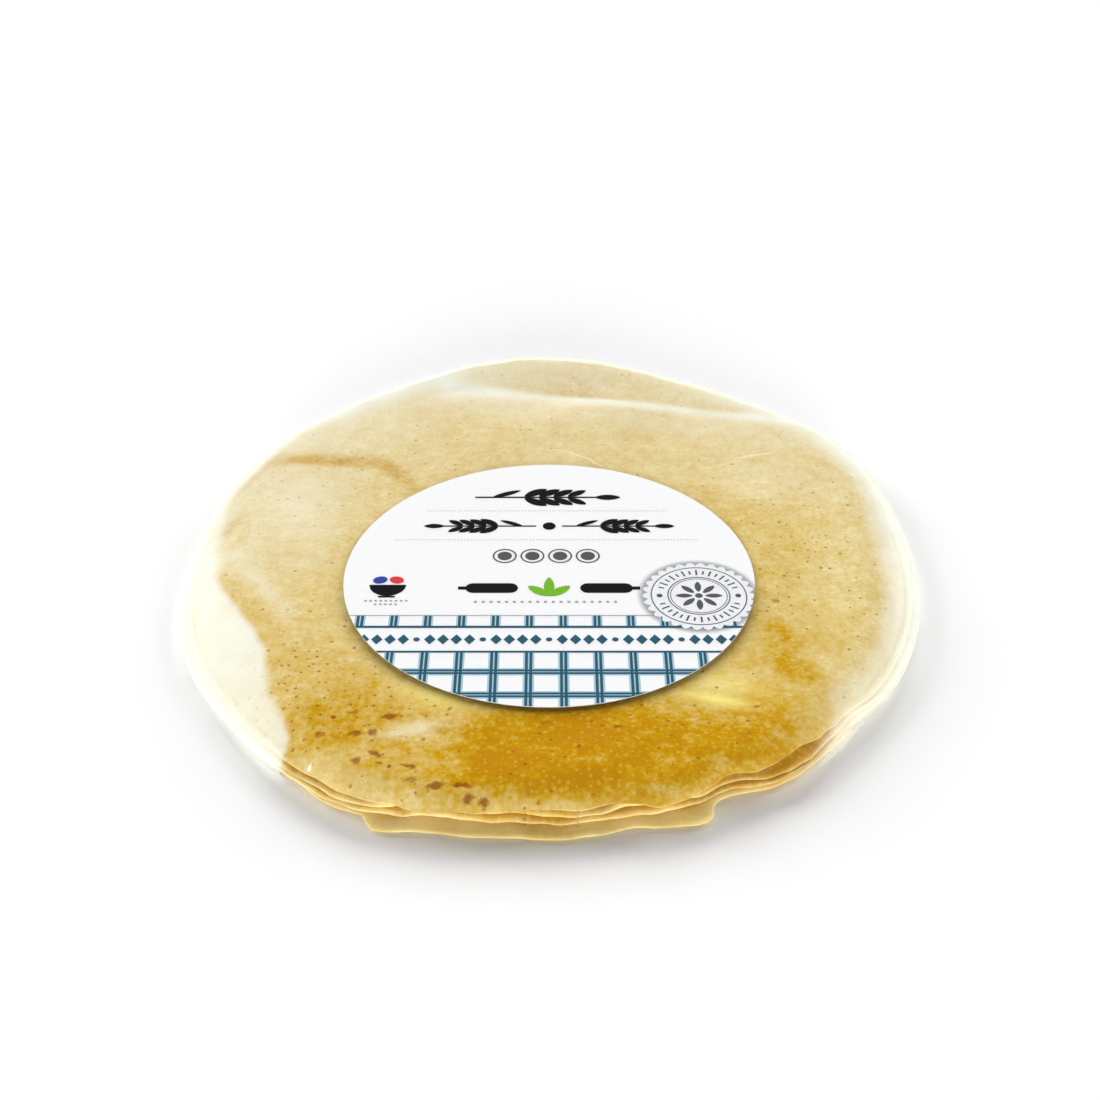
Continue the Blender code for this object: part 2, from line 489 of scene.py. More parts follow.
    def side_radius(self, share: Array, degrees: Array, groove: float) -> Array:
        """Give the reach of the side.

        Args:
            share: How far down the side each place lies, from 0 at the top edge to 1 at the base.
            degrees: Where round the pack it lies.
            groove: How far the film sags in between two crepe edges.

        Returns:
            The reach from the pack's middle.
        """
        weight = self.layered(degrees)
        along = np.clip(share, 0.0, 1.0) * self.crepes
        from_tip = np.clip(along - 0.5, 0.0, self.crepes - 1.0)
        step = np.minimum(self.crepes - 2, np.floor(from_tip)).astype(int)
        between = from_tip - step
        order = range(self.crepes - 1, -1, -1)
        above, below = self.neighbours([self.layer_reach(layer, degrees) for layer in order], step)
        sag = groove * np.sin(math.pi * between)
        end = np.clip(np.abs(along - self.crepes / 2.0) - (self.crepes / 2.0 - 0.5), 0.0, 0.5)
        roll = self.groove_depth * (1.0 - np.sqrt(1.0 - (2.0 * end) ** 2))
        round_side = 1.0 - np.sqrt(np.maximum(0.0, 1.0 - (2.0 * share - 1.0) ** 2))
        smooth = -self.edge_tuck * round_side - sag * self.smooth_groove
        stepped = above + (below - above) * between - sag - roll
        return self.rim(degrees) + (1.0 - weight) * smooth + weight * stepped

    def side_height(self, share: Array, degrees: Array) -> Array:
        """Give the height of the side, as a share of its edge's height.

        Args:
            share: How far down the side each place lies, counted in crepe edges from 0 to 1.
            degrees: Where round the pack it lies.

        Returns:
            The share, from 1 at the top edge to 0 at the base.
        """
        along = np.clip(share, 0.0, 1.0) * self.crepes
        step = np.minimum(self.crepes - 1, np.floor(along)).astype(int)
        within = along - step
        inset = np.zeros_like(degrees)
        order = range(self.crepes, -1, -1)
        above, below = self.neighbours([self.interface(level, inset, degrees) for level in order], step)
        return above + (below - above) * within


@dataclass
class RingSheet:
    """A closed round body whose rings run from the middle of its top to the middle of its base."""

    name: str
    segments: int
    rings: int

    def build(self, place: Callable[[Array, Array], Array]) -> bpy.types.Object:
        """Add a globe, halve its faces and lay each of its rings onto the body.

        Args:
            place: Gives the places of points from their ring numbers and angles.

        Returns:
            The new object.
        """
        deselect_all()
        bpy.ops.mesh.primitive_uv_sphere_add(segments=self.segments // 2, ring_count=self.rings // 2)
        obj = bpy.context.object
        obj.name = self.name
        obj.data.name = self.name
        finer = obj.modifiers.new("finer", "SUBSURF")
        finer.subdivision_type = "SIMPLE"
        finer.levels = 1
        apply_modifiers(obj)
        globe = read_places(obj)
        polar = globe[:, 2] / np.linalg.norm(globe, axis=1)
        ring = np.rint(np.arccos(np.clip(polar, -1.0, 1.0)) / math.pi * self.rings)
        write_places(obj, place(ring, angle_of(globe[:, 0], globe[:, 1])))
        smooth_shade(obj)
        return obj


@dataclass(frozen=True)
class VeilStop:
    """How strong the film's painted glare, a milky white veil, is near the rim at one angle.

    Attributes:
        degrees: Where round the pack.
        inset: How far in from the rim the veil reaches, in millimetres.
        soft: How wide its soft border is, in millimetres.
        strength: How strong the painted glare is, from 0 to 1.
    """

    degrees: float
    inset: float
    soft: float
    strength: float


@dataclass(frozen=True)
class GlareVeil:
    """How much of the film's glare is painted as a milky white over the crepes, at any place of the pack."""

    form: PackForm
    # Painted glare of the film along the rim, as a milky white veil.
    veil: tuple[VeilStop, ...] = (
        VeilStop(0.0, 8.0, 9.0, 0.92),
        VeilStop(25.0, 8.0, 9.0, 0.92),
        VeilStop(45.0, 7.0, 9.0, 0.90),
        VeilStop(62.0, 4.0, 7.0, 0.80),
        VeilStop(80.0, 3.0, 6.0, 0.72),
        VeilStop(100.0, 4.0, 6.0, 0.75),
        VeilStop(112.0, 9.0, 7.0, 0.90),
        VeilStop(128.0, 9.0, 8.0, 0.90),
        VeilStop(143.0, 6.0, 6.0, 0.86),
        VeilStop(155.0, 5.5, 4.0, 0.92),
        VeilStop(163.0, 5.0, 5.0, 0.90),
        VeilStop(174.0, 8.5, 6.0, 0.88),
        VeilStop(186.6, 12.9, 4.0, 0.92),
        VeilStop(191.5, 16.1, 3.0, 0.93),
        VeilStop(197.4, 20.3, 2.8, 0.93),
        VeilStop(204.6, 22.9, 2.6, 0.93),
        VeilStop(211.0, 22.8, 3.2, 0.92),
        VeilStop(214.0, 20.0, 4.5, 0.90),
        VeilStop(220.4, 13.7, 5.5, 0.80),
        VeilStop(226.9, 11.5, 3.6, 0.74),
        VeilStop(230.0, 8.5, 2.4, 0.72),
        VeilStop(231.4, 4.0, 2.4, 0.60),
        VeilStop(232.8, -2.0, 3.0, 0.20),
        VeilStop(236.0, -4.0, 4.0, 0.0),
        VeilStop(306.0, -4.0, 4.0, 0.0),
        VeilStop(312.0, 3.0, 6.0, 0.22),
        VeilStop(325.0, 5.0, 8.0, 0.32),
        VeilStop(340.0, 7.5, 9.0, 0.78),
    )
    thin_veil: tuple[VeilStop, ...] = (
        VeilStop(0.0, 14.5, 6.0, 0.50),
        VeilStop(12.0, 13.5, 6.5, 0.50),
        VeilStop(30.0, 12.0, 8.0, 0.48),
        VeilStop(50.0, 11.0, 9.0, 0.42),
        VeilStop(75.0, 6.0, 9.0, 0.25),
        VeilStop(105.0, 10.0, 10.0, 0.25),
        VeilStop(130.0, 15.0, 14.0, 0.34),
        VeilStop(150.0, 10.0, 12.0, 0.34),
        VeilStop(170.0, 12.0, 10.0, 0.40),
        VeilStop(183.0, 14.0, 6.0, 0.30),
        VeilStop(190.0, 10.0, 6.0, 0.0),
        VeilStop(300.0, 0.0, 6.0, 0.0),
        VeilStop(312.0, 3.0, 5.0, 0.12),
        VeilStop(318.0, 10.0, 6.0, 0.30),
        VeilStop(333.0, 11.0, 6.0, 0.40),
        VeilStop(341.0, 12.5, 6.0, 0.46),
    )
    patches: tuple[Patch, ...] = (
        Patch((-94.0, 26.0), (26.0, 40.0), 0.40),
        Patch((-84.0, 57.5), (22.0, 4.0), -0.34, -2.0),
        Patch((-112.0, -2.0), (7.0, 5.0), 0.30, 20.0),
        Patch((-103.0, -14.0), (9.0, 3.6), 0.34, -52.0),
        Patch((-95.0, -27.0), (9.0, 3.4), 0.30, -56.0),
        Patch((-89.0, -37.0), (4.0, 4.0), 0.20),
        Patch((-43.0, -96.0), (10.0, 2.6), 0.30, 14.0),
        Patch((-70.0, 84.0), (30.0, 16.0), 0.20, 30.0),
        Patch((84.0, 44.0), (18.0, 14.0), 0.14),
    )
    # Painted glare along the back valley, on the slope in front of it and over the back; it also lightens
    # slopes that face away from the lamps.
    valley_glare: tuple[float, float] = (0.96, 0.82)
    valley_widths: tuple[float, float] = (8.0 * MM, 3.0 * MM)
    valley_sides: tuple[float, float] = (0.75, 1.35)
    valley_left: float = -62.0 * MM
    valley_start: float = 20.0 * MM
    valley_change: float = 70.0 * MM
    valley_fade: tuple[float, float] = (50.0 * MM, 30.0 * MM)
    front_of_valley: float = 0.22
    front_slope: tuple[float, float] = (12.0 * MM, 10.0 * MM)
    front_fade: float = 60.0 * MM
    back: float = 0.18
    back_fade: tuple[float, float] = (10.0 * MM, 60.0 * MM)
    behind_valley: float = 0.24
    behind_run: float = 8.0 * MM
    side_start: float = 1.6
    side_reach: float = 3.2 * MM
    ragged: tuple[tuple[float, float, float], ...] = ((0.8, 6.0 * MM, 31.0), (1.0, 20.0 * MM, 37.0))
    fully_ragged: float = 5.0
    inner_loss: float = 0.07

    def veil_at(self, stops: Sequence[VeilStop], inset: Array, degrees: Array) -> Array:
        """Give how strong a painted glare veil along the rim is.

        Args:
            stops: The veil's stops round the pack.
            inset: How far inside the rim each place lies, in millimetres.
            degrees: Where round the pack it lies.

        Returns:
            The painted glare from 0 to 1.
        """
        angles = [stop.degrees for stop in stops]
        rows = zip(*((stop.inset, stop.soft, stop.strength) for stop in stops))
        reach, soft, strength = (np.interp(degrees, angles, row, period=FULL_TURN) for row in rows)
        ragged = rim_waves(degrees, self.ragged) * np.minimum(1.0, soft / self.fully_ragged)
        border = (reach + ragged - inset) / soft
        inwards = smooth_step(inset / np.maximum(reach, 1.0))
        return strength * smooth_step(border + 0.5) * (1.0 - self.inner_loss * inwards)

    def over_crepes(self, x: Array, y: Array) -> Array:
        """Give how much of the film's painted glare lies over the crepes at each place, given in metres."""
        degrees = angle_of(x, y)
        inset = np.maximum(0.0, self.form.rim(degrees) - np.hypot(x, y)) / MM
        rim_veil = self.veil_at(self.veil, inset, degrees)
        thin_veil = self.veil_at(self.thin_veil, inset, degrees)
        behind = self.form.behind_valley(x, y)
        to_right = ramp(x, self.valley_left, self.valley_change)
        width = from_to(self.valley_widths, to_right) * np.where(behind > 0.0, *self.valley_sides)
        at_back = ramp(x, self.valley_left, self.valley_start) * ramp(y, *self.valley_fade)
        valley = from_to(self.valley_glare, to_right) * np.exp(-(behind / width) ** 2) * at_back
        ahead = (behind + self.front_slope[0]) / self.front_slope[1]
        before = np.exp(-ahead ** 2) * ramp(y, 0.0, self.front_fade)
        back = self.back * ramp(y, *self.back_fade)
        back = back + self.behind_valley * ramp(behind, 0.0, self.behind_run)
        # Milky white patches of painted glare.
        glare_milk = np.clip(add_patches(self.patches, x, y), 0.0, 1.0)
        clear = (1.0 - rim_veil) * (1.0 - thin_veil) * (1.0 - glare_milk)
        return 1.0 - clear * (1.0 - valley) * (1.0 - self.front_of_valley * before) * (1.0 - back)

    def on_sides(self, x: Array, y: Array) -> Array:
        """Give how much painted glare the film itself carries, from where it leaves the crepes' top."""
        inset = np.maximum(0.0, self.form.rim(angle_of(x, y)) - np.hypot(x, y))
        return self.over_crepes(x, y) * smooth_step(self.side_start - inset / self.side_reach)


@dataclass
class Crepes:
    """The stack of thin crepes inside the film."""

    form: PackForm
    glare_veil: GlareVeil
    film_gap: float = 0.45 * MM
    base_gap: float = 0.76 * MM
    under_film: float = 0.35 * MM
    between: float = 0.18 * MM
    edge_round: float = 1.8 * MM
    lip_thin: float = 0.42
    lip_run: float = 4.5 * MM
    ragged: float = 0.8 * MM
    ragged_inset: float = 0.6
    ragged_swing: float = 0.5
    edge_fade: float = 2.2 * MM
    relief: float = 0.16 * MM
    relief_waves: tuple[tuple[float, float, float], ...] = ((0.65, 11.0 * MM, 1.3), (0.35, 4.0 * MM, 8.1))
    golden_base: float = 0.34
    # The gold inside the lips is partly painted shade in the gaps between crepes; the flap's pale middle is
    # painted light and its golden groove is painted shade.
    golden_inner: float = 0.62
    golden_flap: float = 0.26
    flap_fade: float = 5.0 * MM
    flap_edge: float = 0.45
    flap_groove: float = 0.50
    lip_paleness: float = 0.62
    streak_middle: float = 0.86
    streak_swing: float = 0.35
    streak_size: float = 9.0 * MM
    lip_streaks: float = 0.22
    lip_fade: float = 0.9 * MM
    browning_gold: float = 0.5
    browning_flap: float = 0.4
    lip_browning: tuple[Bulge, ...] = (Bulge(269.0, 0.60, 7.0), Bulge(303.0, 0.60, 14.0))
    golden_patches: tuple[Patch, ...] = (
        Patch((91.0, -50.0), (8.0, 11.0), 0.14, 20.0),
        Patch((14.0, -106.0), (54.0, 25.0), 0.54),
        Patch((6.0, -117.0), (48.0, 10.0), 0.22),
        Patch((4.0, -125.5), (27.0, 2.0), -0.26),
        Patch((6.0, -92.0), (34.0, 8.0), 0.12),
        Patch((12.0, -109.5), (8.0, 3.0), -0.24),
        Patch((29.0, -120.0), (10.0, 2.4), -0.28),
        Patch((-15.0, -110.0), (12.0, 9.0), 0.20),
        Patch((-26.0, -94.0), (10.0, 6.0), 0.12),
        Patch((48.0, -94.0), (12.0, 8.0), 0.14),
        Patch((14.0, 112.0), (24.0, 9.0), 0.24),
        Patch((66.0, -100.0), (16.0, 10.0), 0.24, 34.0),
        Patch((75.0, -48.0), (5.0, 9.0), 0.26, 20.0),
        Patch((78.0, -66.0), (11.0, 6.0), 0.32, -54.0),
        Patch((68.0, -84.0), (9.0, 8.0), 0.22),
        Patch((76.0, -68.0), (12.0, 18.0), 0.10, -20.0),
        # Browner bands along the fold at the upper left: browning, with the fold's shade painted in.
        Patch((-84.0, 57.0), (22.0, 4.2), 0.44, -2.0),
        Patch((-57.0, 47.5), (11.0, 3.2), 0.46, -50.0),
        Patch((-111.0, 47.0), (11.0, 1.8), 0.40, 62.0),
        Patch((-116.0, 15.0), (8.0, 2.6), 0.42, 62.0),
        Patch((-66.0, -88.0), (24.0, 14.0), 0.21, 20.0),
        Patch((-78.0, -62.0), (14.0, 20.0), 0.12),
        Patch((-53.0, -98.0), (20.0, 7.0), 0.18, 10.0),
        Patch((-43.0, -95.0), (10.0, 3.2), -0.45, 12.0),
        Patch((-64.0, -114.0), (20.0, 5.0), -0.10, -36.0),
        Patch((-94.0, 20.0), (22.0, 40.0), -0.12),
        Patch((-60.0, 88.0), (44.0, 26.0), -0.06),
        Patch((104.0, -8.0), (20.0, 60.0), -0.10),
        Patch((100.0, -76.0), (18.0, 20.0), -0.16, 40.0),
    )
    # Buttery yellow patches; the two to the right of the label's front are painted highlights.
    butter_and_highlight_patches: tuple[Patch, ...] = (
        Patch((52.0, -82.3), (11.0, 2.4), 0.72, -18.0),
        Patch((56.0, -75.0), (14.0, 7.0), 0.42, -20.0),
        Patch((-36.0, -80.5), (11.0, 4.0), 0.68, -25.0),
        Patch((-70.0, -128.0), (8.0, 3.0), 0.30, -40.0),
    )
    pore_base: float = 0.12
    pore_patches: tuple[Patch, ...] = (
        Patch((-78.0, -74.0), (16.0, 24.0), 0.9, 30.0),
        Patch((-56.0, -92.0), (24.0, 18.0), 0.7),
        Patch((88.0, 5.0), (18.0, 34.0), 0.45),
        Patch((-75.0, 48.0), (34.0, 12.0), 0.35),
        Patch((34.0, 117.0), (26.0, 6.0), 0.6),
        Patch((20.0, -108.0), (60.0, 16.0), 0.15),
    )
    # Painted shadow of the label on the crepe, just in front of its edge.
    label_shade: float = 0.58
    label_shade_reach: float = 3.6 * MM
    top_segments: int = 440
    plain_segments: int = 320
    top_face_rings: int = 124
    plain_face_rings: int = 22
    edge_rings: int = 8
    base_rings: int = 20
    pieces: list[bpy.types.Object] = field(default_factory=list)

    def outline(self, layer: int, degrees: Array) -> Array:
        """Give the reach of one crepe's edge, a little inside the film.

        Args:
            layer: The crepe's number, from 0 at the bottom.
            degrees: Where round the pack.

        Returns:
            The reach from the pack's middle.
        """
        weight = self.form.layered(degrees)
        share = (self.form.crepes - 0.5 - layer) / self.form.crepes
        tuck = self.form.edge_tuck * (1.0 - math.sqrt(1.0 - (2.0 * share - 1.0) ** 2))
        waves = ((1.0, 9.0 * MM, 3.1 + 7.7 * layer), (0.5, 3.5 * MM, 5.9 + 2.3 * layer))
        ragged = self.ragged * (self.ragged_inset - self.ragged_swing * rim_waves(degrees, waves))
        gap = self.film_gap if layer else self.film_gap + self.base_gap
        reach = self.form.rim(degrees) + self.form.layer_reach(layer, degrees)
        return reach - tuck * (1.0 - weight) - gap - ragged

    def faces(self, layer: int, radius: Array, degrees: Array) -> tuple[Array, Array]:
        """Give the heights of one crepe's upper and lower face before its edge thins.

        Args:
            layer: The crepe's number, from 0 at the bottom.
            radius: How far from the pack's middle each place lies.
            degrees: Where round the pack it lies.

        Returns:
            The upper and the lower heights.
        """
        film = self.form.top_height_at(radius, degrees) - self.under_film
        floor = self.under_film
        inset = self.form.rim(degrees) - radius
        lower = floor + (film - floor) * self.form.interface(layer, inset, degrees)
        upper = floor + (film - floor) * self.form.interface(layer + 1, inset, degrees)
        lower = lower + (self.between / 2.0 if layer else 0.0)
        upper = upper - (self.between / 2.0 if layer < self.form.crepes - 1 else 0.0)
        return upper, lower

    def lay(self, layer: int, face_rings: int) -> Callable[[Array, Array], Array]:
        """Make the rule that lays a globe's rings onto one crepe.

        Args:
            layer: The crepe's number, from 0 at the bottom.
            face_rings: How many rings lie on the upper face.

        Returns:
            The rule from ring numbers and angles to places.
        """

        def place(ring: Array, degrees: Array) -> Array:
            """Lay the rings on the upper face, round the edge and on the lower face."""
            edge = self.outline(layer, degrees)
            inner = edge - self.edge_round
            edge_end = face_rings + self.edge_rings
            face_share = np.clip(ring / face_rings, 0.0, 1.0)
            round_share = np.clip((ring - face_rings) / self.edge_rings, 0.0, 1.0)
            base_share = np.clip((ring - edge_end) / self.base_rings, 0.0, 1.0)
            on_face = ring <= face_rings
            on_base = ring >= edge_end
            lean = (0.5 - round_share) * math.pi
            rounded = inner + self.edge_round * np.cos(lean)
            radius = np.where(on_face, inner * face_share ** RING_SPREAD, rounded)
            radius = np.where(on_base, inner * (1.0 - base_share), radius)
            upper, lower = self.faces(layer, radius, degrees)
            thin = 1.0 - self.lip_thin * np.exp(-np.maximum(0.0, edge - radius) / self.lip_run)
            middle = (upper + lower) / 2.0
            half = (upper - lower) / 2.0 * thin
            height = middle + half * np.where(on_face, 1.0, np.where(on_base, -1.0, np.sin(lean)))
            turn = np.radians(degrees)
            places = np.stack([radius * np.cos(turn), radius * np.sin(turn), height], axis=1)
            if layer == self.form.crepes - 1:
                bumps = sum(weight * wavy(places, size, seed) for weight, size, seed in self.relief_waves)
                places[:, 2] += np.where(on_face, self.relief * bumps, 0.0)
            return places

        return place

    def build(self) -> None:
        """Model each crepe as a thin closed sheet, the top one finely and the others plainly."""
        for layer in range(self.form.crepes):
            on_top = layer == self.form.crepes - 1
            segments = self.top_segments if on_top else self.plain_segments
            face_rings = self.top_face_rings if on_top else self.plain_face_rings
            rings = face_rings + self.edge_rings + self.base_rings
            sheet = RingSheet(f"crepe_{layer + 1}", segments, rings)
            obj = sheet.build(self.lay(layer, face_rings))
            self.mark(obj, layer)
            self.pieces.append(obj)

    def lower_edge(self, layer: int, inset: Array, degrees: Array) -> tuple[Array, Array]:
        """Give how golden and how pale the edge of one of the lower crepes is.

        Args:
            layer: The crepe's number, from 0 at the bottom.
            inset: How far inside its edge each place lies.
            degrees: Where round the pack it lies.

        Returns:
            How golden and how pale each place is.
        """
        streaks = wavy_rim(degrees, self.streak_size, 71.0 + 6.0 * layer)
        browned = sum(bulge.at(degrees) for bulge in self.lip_browning)
        lip = np.exp(-inset / self.lip_fade)
        # Inside the lip the gold is partly browning and partly painted shade in the gaps between crepes; on
        # the flap the paler middle is painted light and the golden groove under the crepes above is painted
        # shade.
        if layer:
            inner, fade, pale = self.golden_inner, self.edge_fade, self.lip_paleness * lip
        else:
            inner, fade, browned = self.golden_flap, self.flap_fade, browned * self.browning_flap
            groove = smooth_step(2.0 * inset / self.flap_fade - 1.0)
            pale = 1.0 - self.flap_edge * lip - self.flap_groove * groove
        golden = self.golden_base + inner * smooth_step(inset / fade) + self.lip_streaks * streaks
        paleness = pale * (self.streak_middle - self.streak_swing * streaks) * (1.0 - browned)
        return golden + self.browning_gold * browned, paleness

    def mark(self, obj: bpy.types.Object, layer: int) -> None:
        """Store where a crepe is browned, buttery yellow with painted highlights, porous, under the painted
        shadow in front of the label, under the film's painted glare and thin at its edge.

        Args:
            obj: The crepe.
            layer: Its number, from 0 at the bottom.
        """
        x, y, _ = read_places(obj).T
        degrees = angle_of(x, y)
        inset = np.maximum(0.0, self.outline(layer, degrees) - np.hypot(x, y))
        if layer < self.form.crepes - 1:
            golden, paleness = self.lower_edge(layer, inset, degrees)
        else:
            golden = self.golden_base + add_patches(self.golden_patches, x, y)
            paleness = np.exp(-inset / self.edge_fade)
        # Painted shadow of the label, darkening the crepe in front of its edge.
        from_label = np.hypot(x - LABEL_CENTRE[0], y - LABEL_CENTRE[1]) - LABEL_RADIUS
        in_front = smooth_step((LABEL_CENTRE[1] - y) / LABEL_RADIUS + 0.2)
        shade = self.label_shade * np.exp(-(from_label / self.label_shade_reach) ** 2) * in_front
        store(obj, "golden", golden)
        # Buttery yellow, with painted highlights.
        store(obj, "butter_and_highlight", add_patches(self.butter_and_highlight_patches, x, y))
        store(obj, "pores", self.pore_base + add_patches(self.pore_patches, x, y))
        store(obj, "edge", paleness)
        store(obj, "shade", shade)
        # The film's painted glare, mixed into the crepe's colour as a milky white.
        store(obj, "glare_haze", self.glare_veil.over_crepes(x, y))

    def dress(self, finish: BatterFinish) -> None:
        """Give every crepe its baked face and tell the frame what the pieces are.

        Args:
            finish: The crepes' finish.
        """
        for layer, obj in enumerate(self.pieces):
            obj.data.materials.append(finish.make(f"baked_batter_{layer + 1}", layer))
            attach(obj, "root")
            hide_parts(Node.WRAPPED_CREPES.value)
            log.info("%s: %d faces", obj.name, len(obj.data.polygons))


@dataclass
class FilmShell:
    """The clear film round the whole stack."""

    form: PackForm
    glare_veil: GlareVeil
    segments: int = 460
    top_rings: int = 104
    side_rings: int = 32
    base_rings: int = 40
    sag: float = 0.20 * MM
    pleat_height: float = 0.22 * MM
    pleat_reach: float = 14.0 * MM
    pleat_waves: tuple[tuple[float, float, float], ...] = ((1.0, 5.0 * MM, 11.7), (0.6, 13.0 * MM, 4.2))
    gather_height: float = 0.25 * MM
    gather_run: float = 1.08
    gather_sway: tuple[float, float] = (1.5, 7.0)
    gathers: int = 54
    piece: bpy.types.Object | None = None

    def place(self, ring: Array, degrees: Array) -> Array:
        """Lay the rings over the top, down the side and under the base.

        Args:
            ring: The ring numbers.
            degrees: The angles.

        Returns:
            The places of the film's points.
        """
        turn = np.radians(degrees)
        edge = self.form.top_edge(degrees)
        side_end = self.top_rings + self.side_rings
        top_share = np.clip(ring / self.top_rings, 0.0, 1.0)
        side_share = np.clip((ring - self.top_rings) / self.side_rings, 0.0, 1.0)
        base_share = np.clip((ring - side_end) / self.base_rings, 0.0, 1.0)
        top_radius = edge * top_share ** RING_SPREAD
        side_radius = self.form.side_radius(side_share, degrees, self.sag)
        base_edge = self.form.rim(degrees) - self.form.base_tuck
        on_top = ring <= self.top_rings
        on_base = ring >= side_end
        radius = np.where(on_base, base_edge * (1.0 - base_share), side_radius)
        radius = np.where(on_top, top_radius, radius)
        side_height = self.form.top_height_at(edge, degrees) * self.form.side_height(side_share, degrees)
        height = np.where(on_top, self.form.top_height_at(top_radius, degrees), side_height)
        height = np.where(on_base, 0.0, height)
        inset = np.maximum(0.0, edge - top_radius)
        pleat = np.clip(rim_waves(degrees, self.pleat_waves), -1.0, 1.0)
        lift = self.pleat_height * (pleat * (1.0 - self.form.layered(degrees)))
        height = height + np.where(on_top, lift * np.exp(-inset / self.pleat_reach), 0.0)
        radius = radius + np.where(on_top | on_base, 0.0, lift * np.sin(side_share * math.pi))
        sway, swings = self.gather_sway
        fold = 0.5 + 0.5 * np.sin(turn * self.gathers + sway * np.sin(turn * swings))
        run = np.clip(base_share * self.gather_run, 0.0, 1.0)
        gather = self.gather_height * fold ** 2 * np.sin(run * math.pi)
        height = height + np.where(on_base, gather, 0.0)
        return np.stack([radius * np.cos(turn), radius * np.sin(turn), height], axis=1)

    def build(self) -> None:
        """Model the film as one thin closed skin."""
        rings = self.top_rings + self.side_rings + self.base_rings
        self.piece = RingSheet("film", self.segments, rings).build(self.place)
        x, y, _ = read_places(self.piece).T
        # The film's painted glare, drawn as a milky white on its sides.
        store(self.piece, "glare_haze", self.glare_veil.on_sides(x, y))

    def dress(self, finish: FilmFinish) -> None:
        """Give the film its finish and tell the frame what the piece is.

        Args:
            finish: The film's finish.
        """
        self.piece.data.materials.append(finish.make())
        self.piece.visible_shadow = False
        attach(self.piece, "root")
        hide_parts(Node.WRAPPED_CREPES.value)
        log.info("%s: %d faces", self.piece.name, len(self.piece.data.polygons))


def new_material(name: str) -> tuple[bpy.types.Material, Wiring]:
    """Make an empty node material.

    Args:
        name: The material's name.

    Returns:
        The material and the wiring of its nodes.
    """
    material = bpy.data.materials.new(name)
    material.use_nodes = True
    material.node_tree.nodes.clear()
    return material, Wiring(material.node_tree)


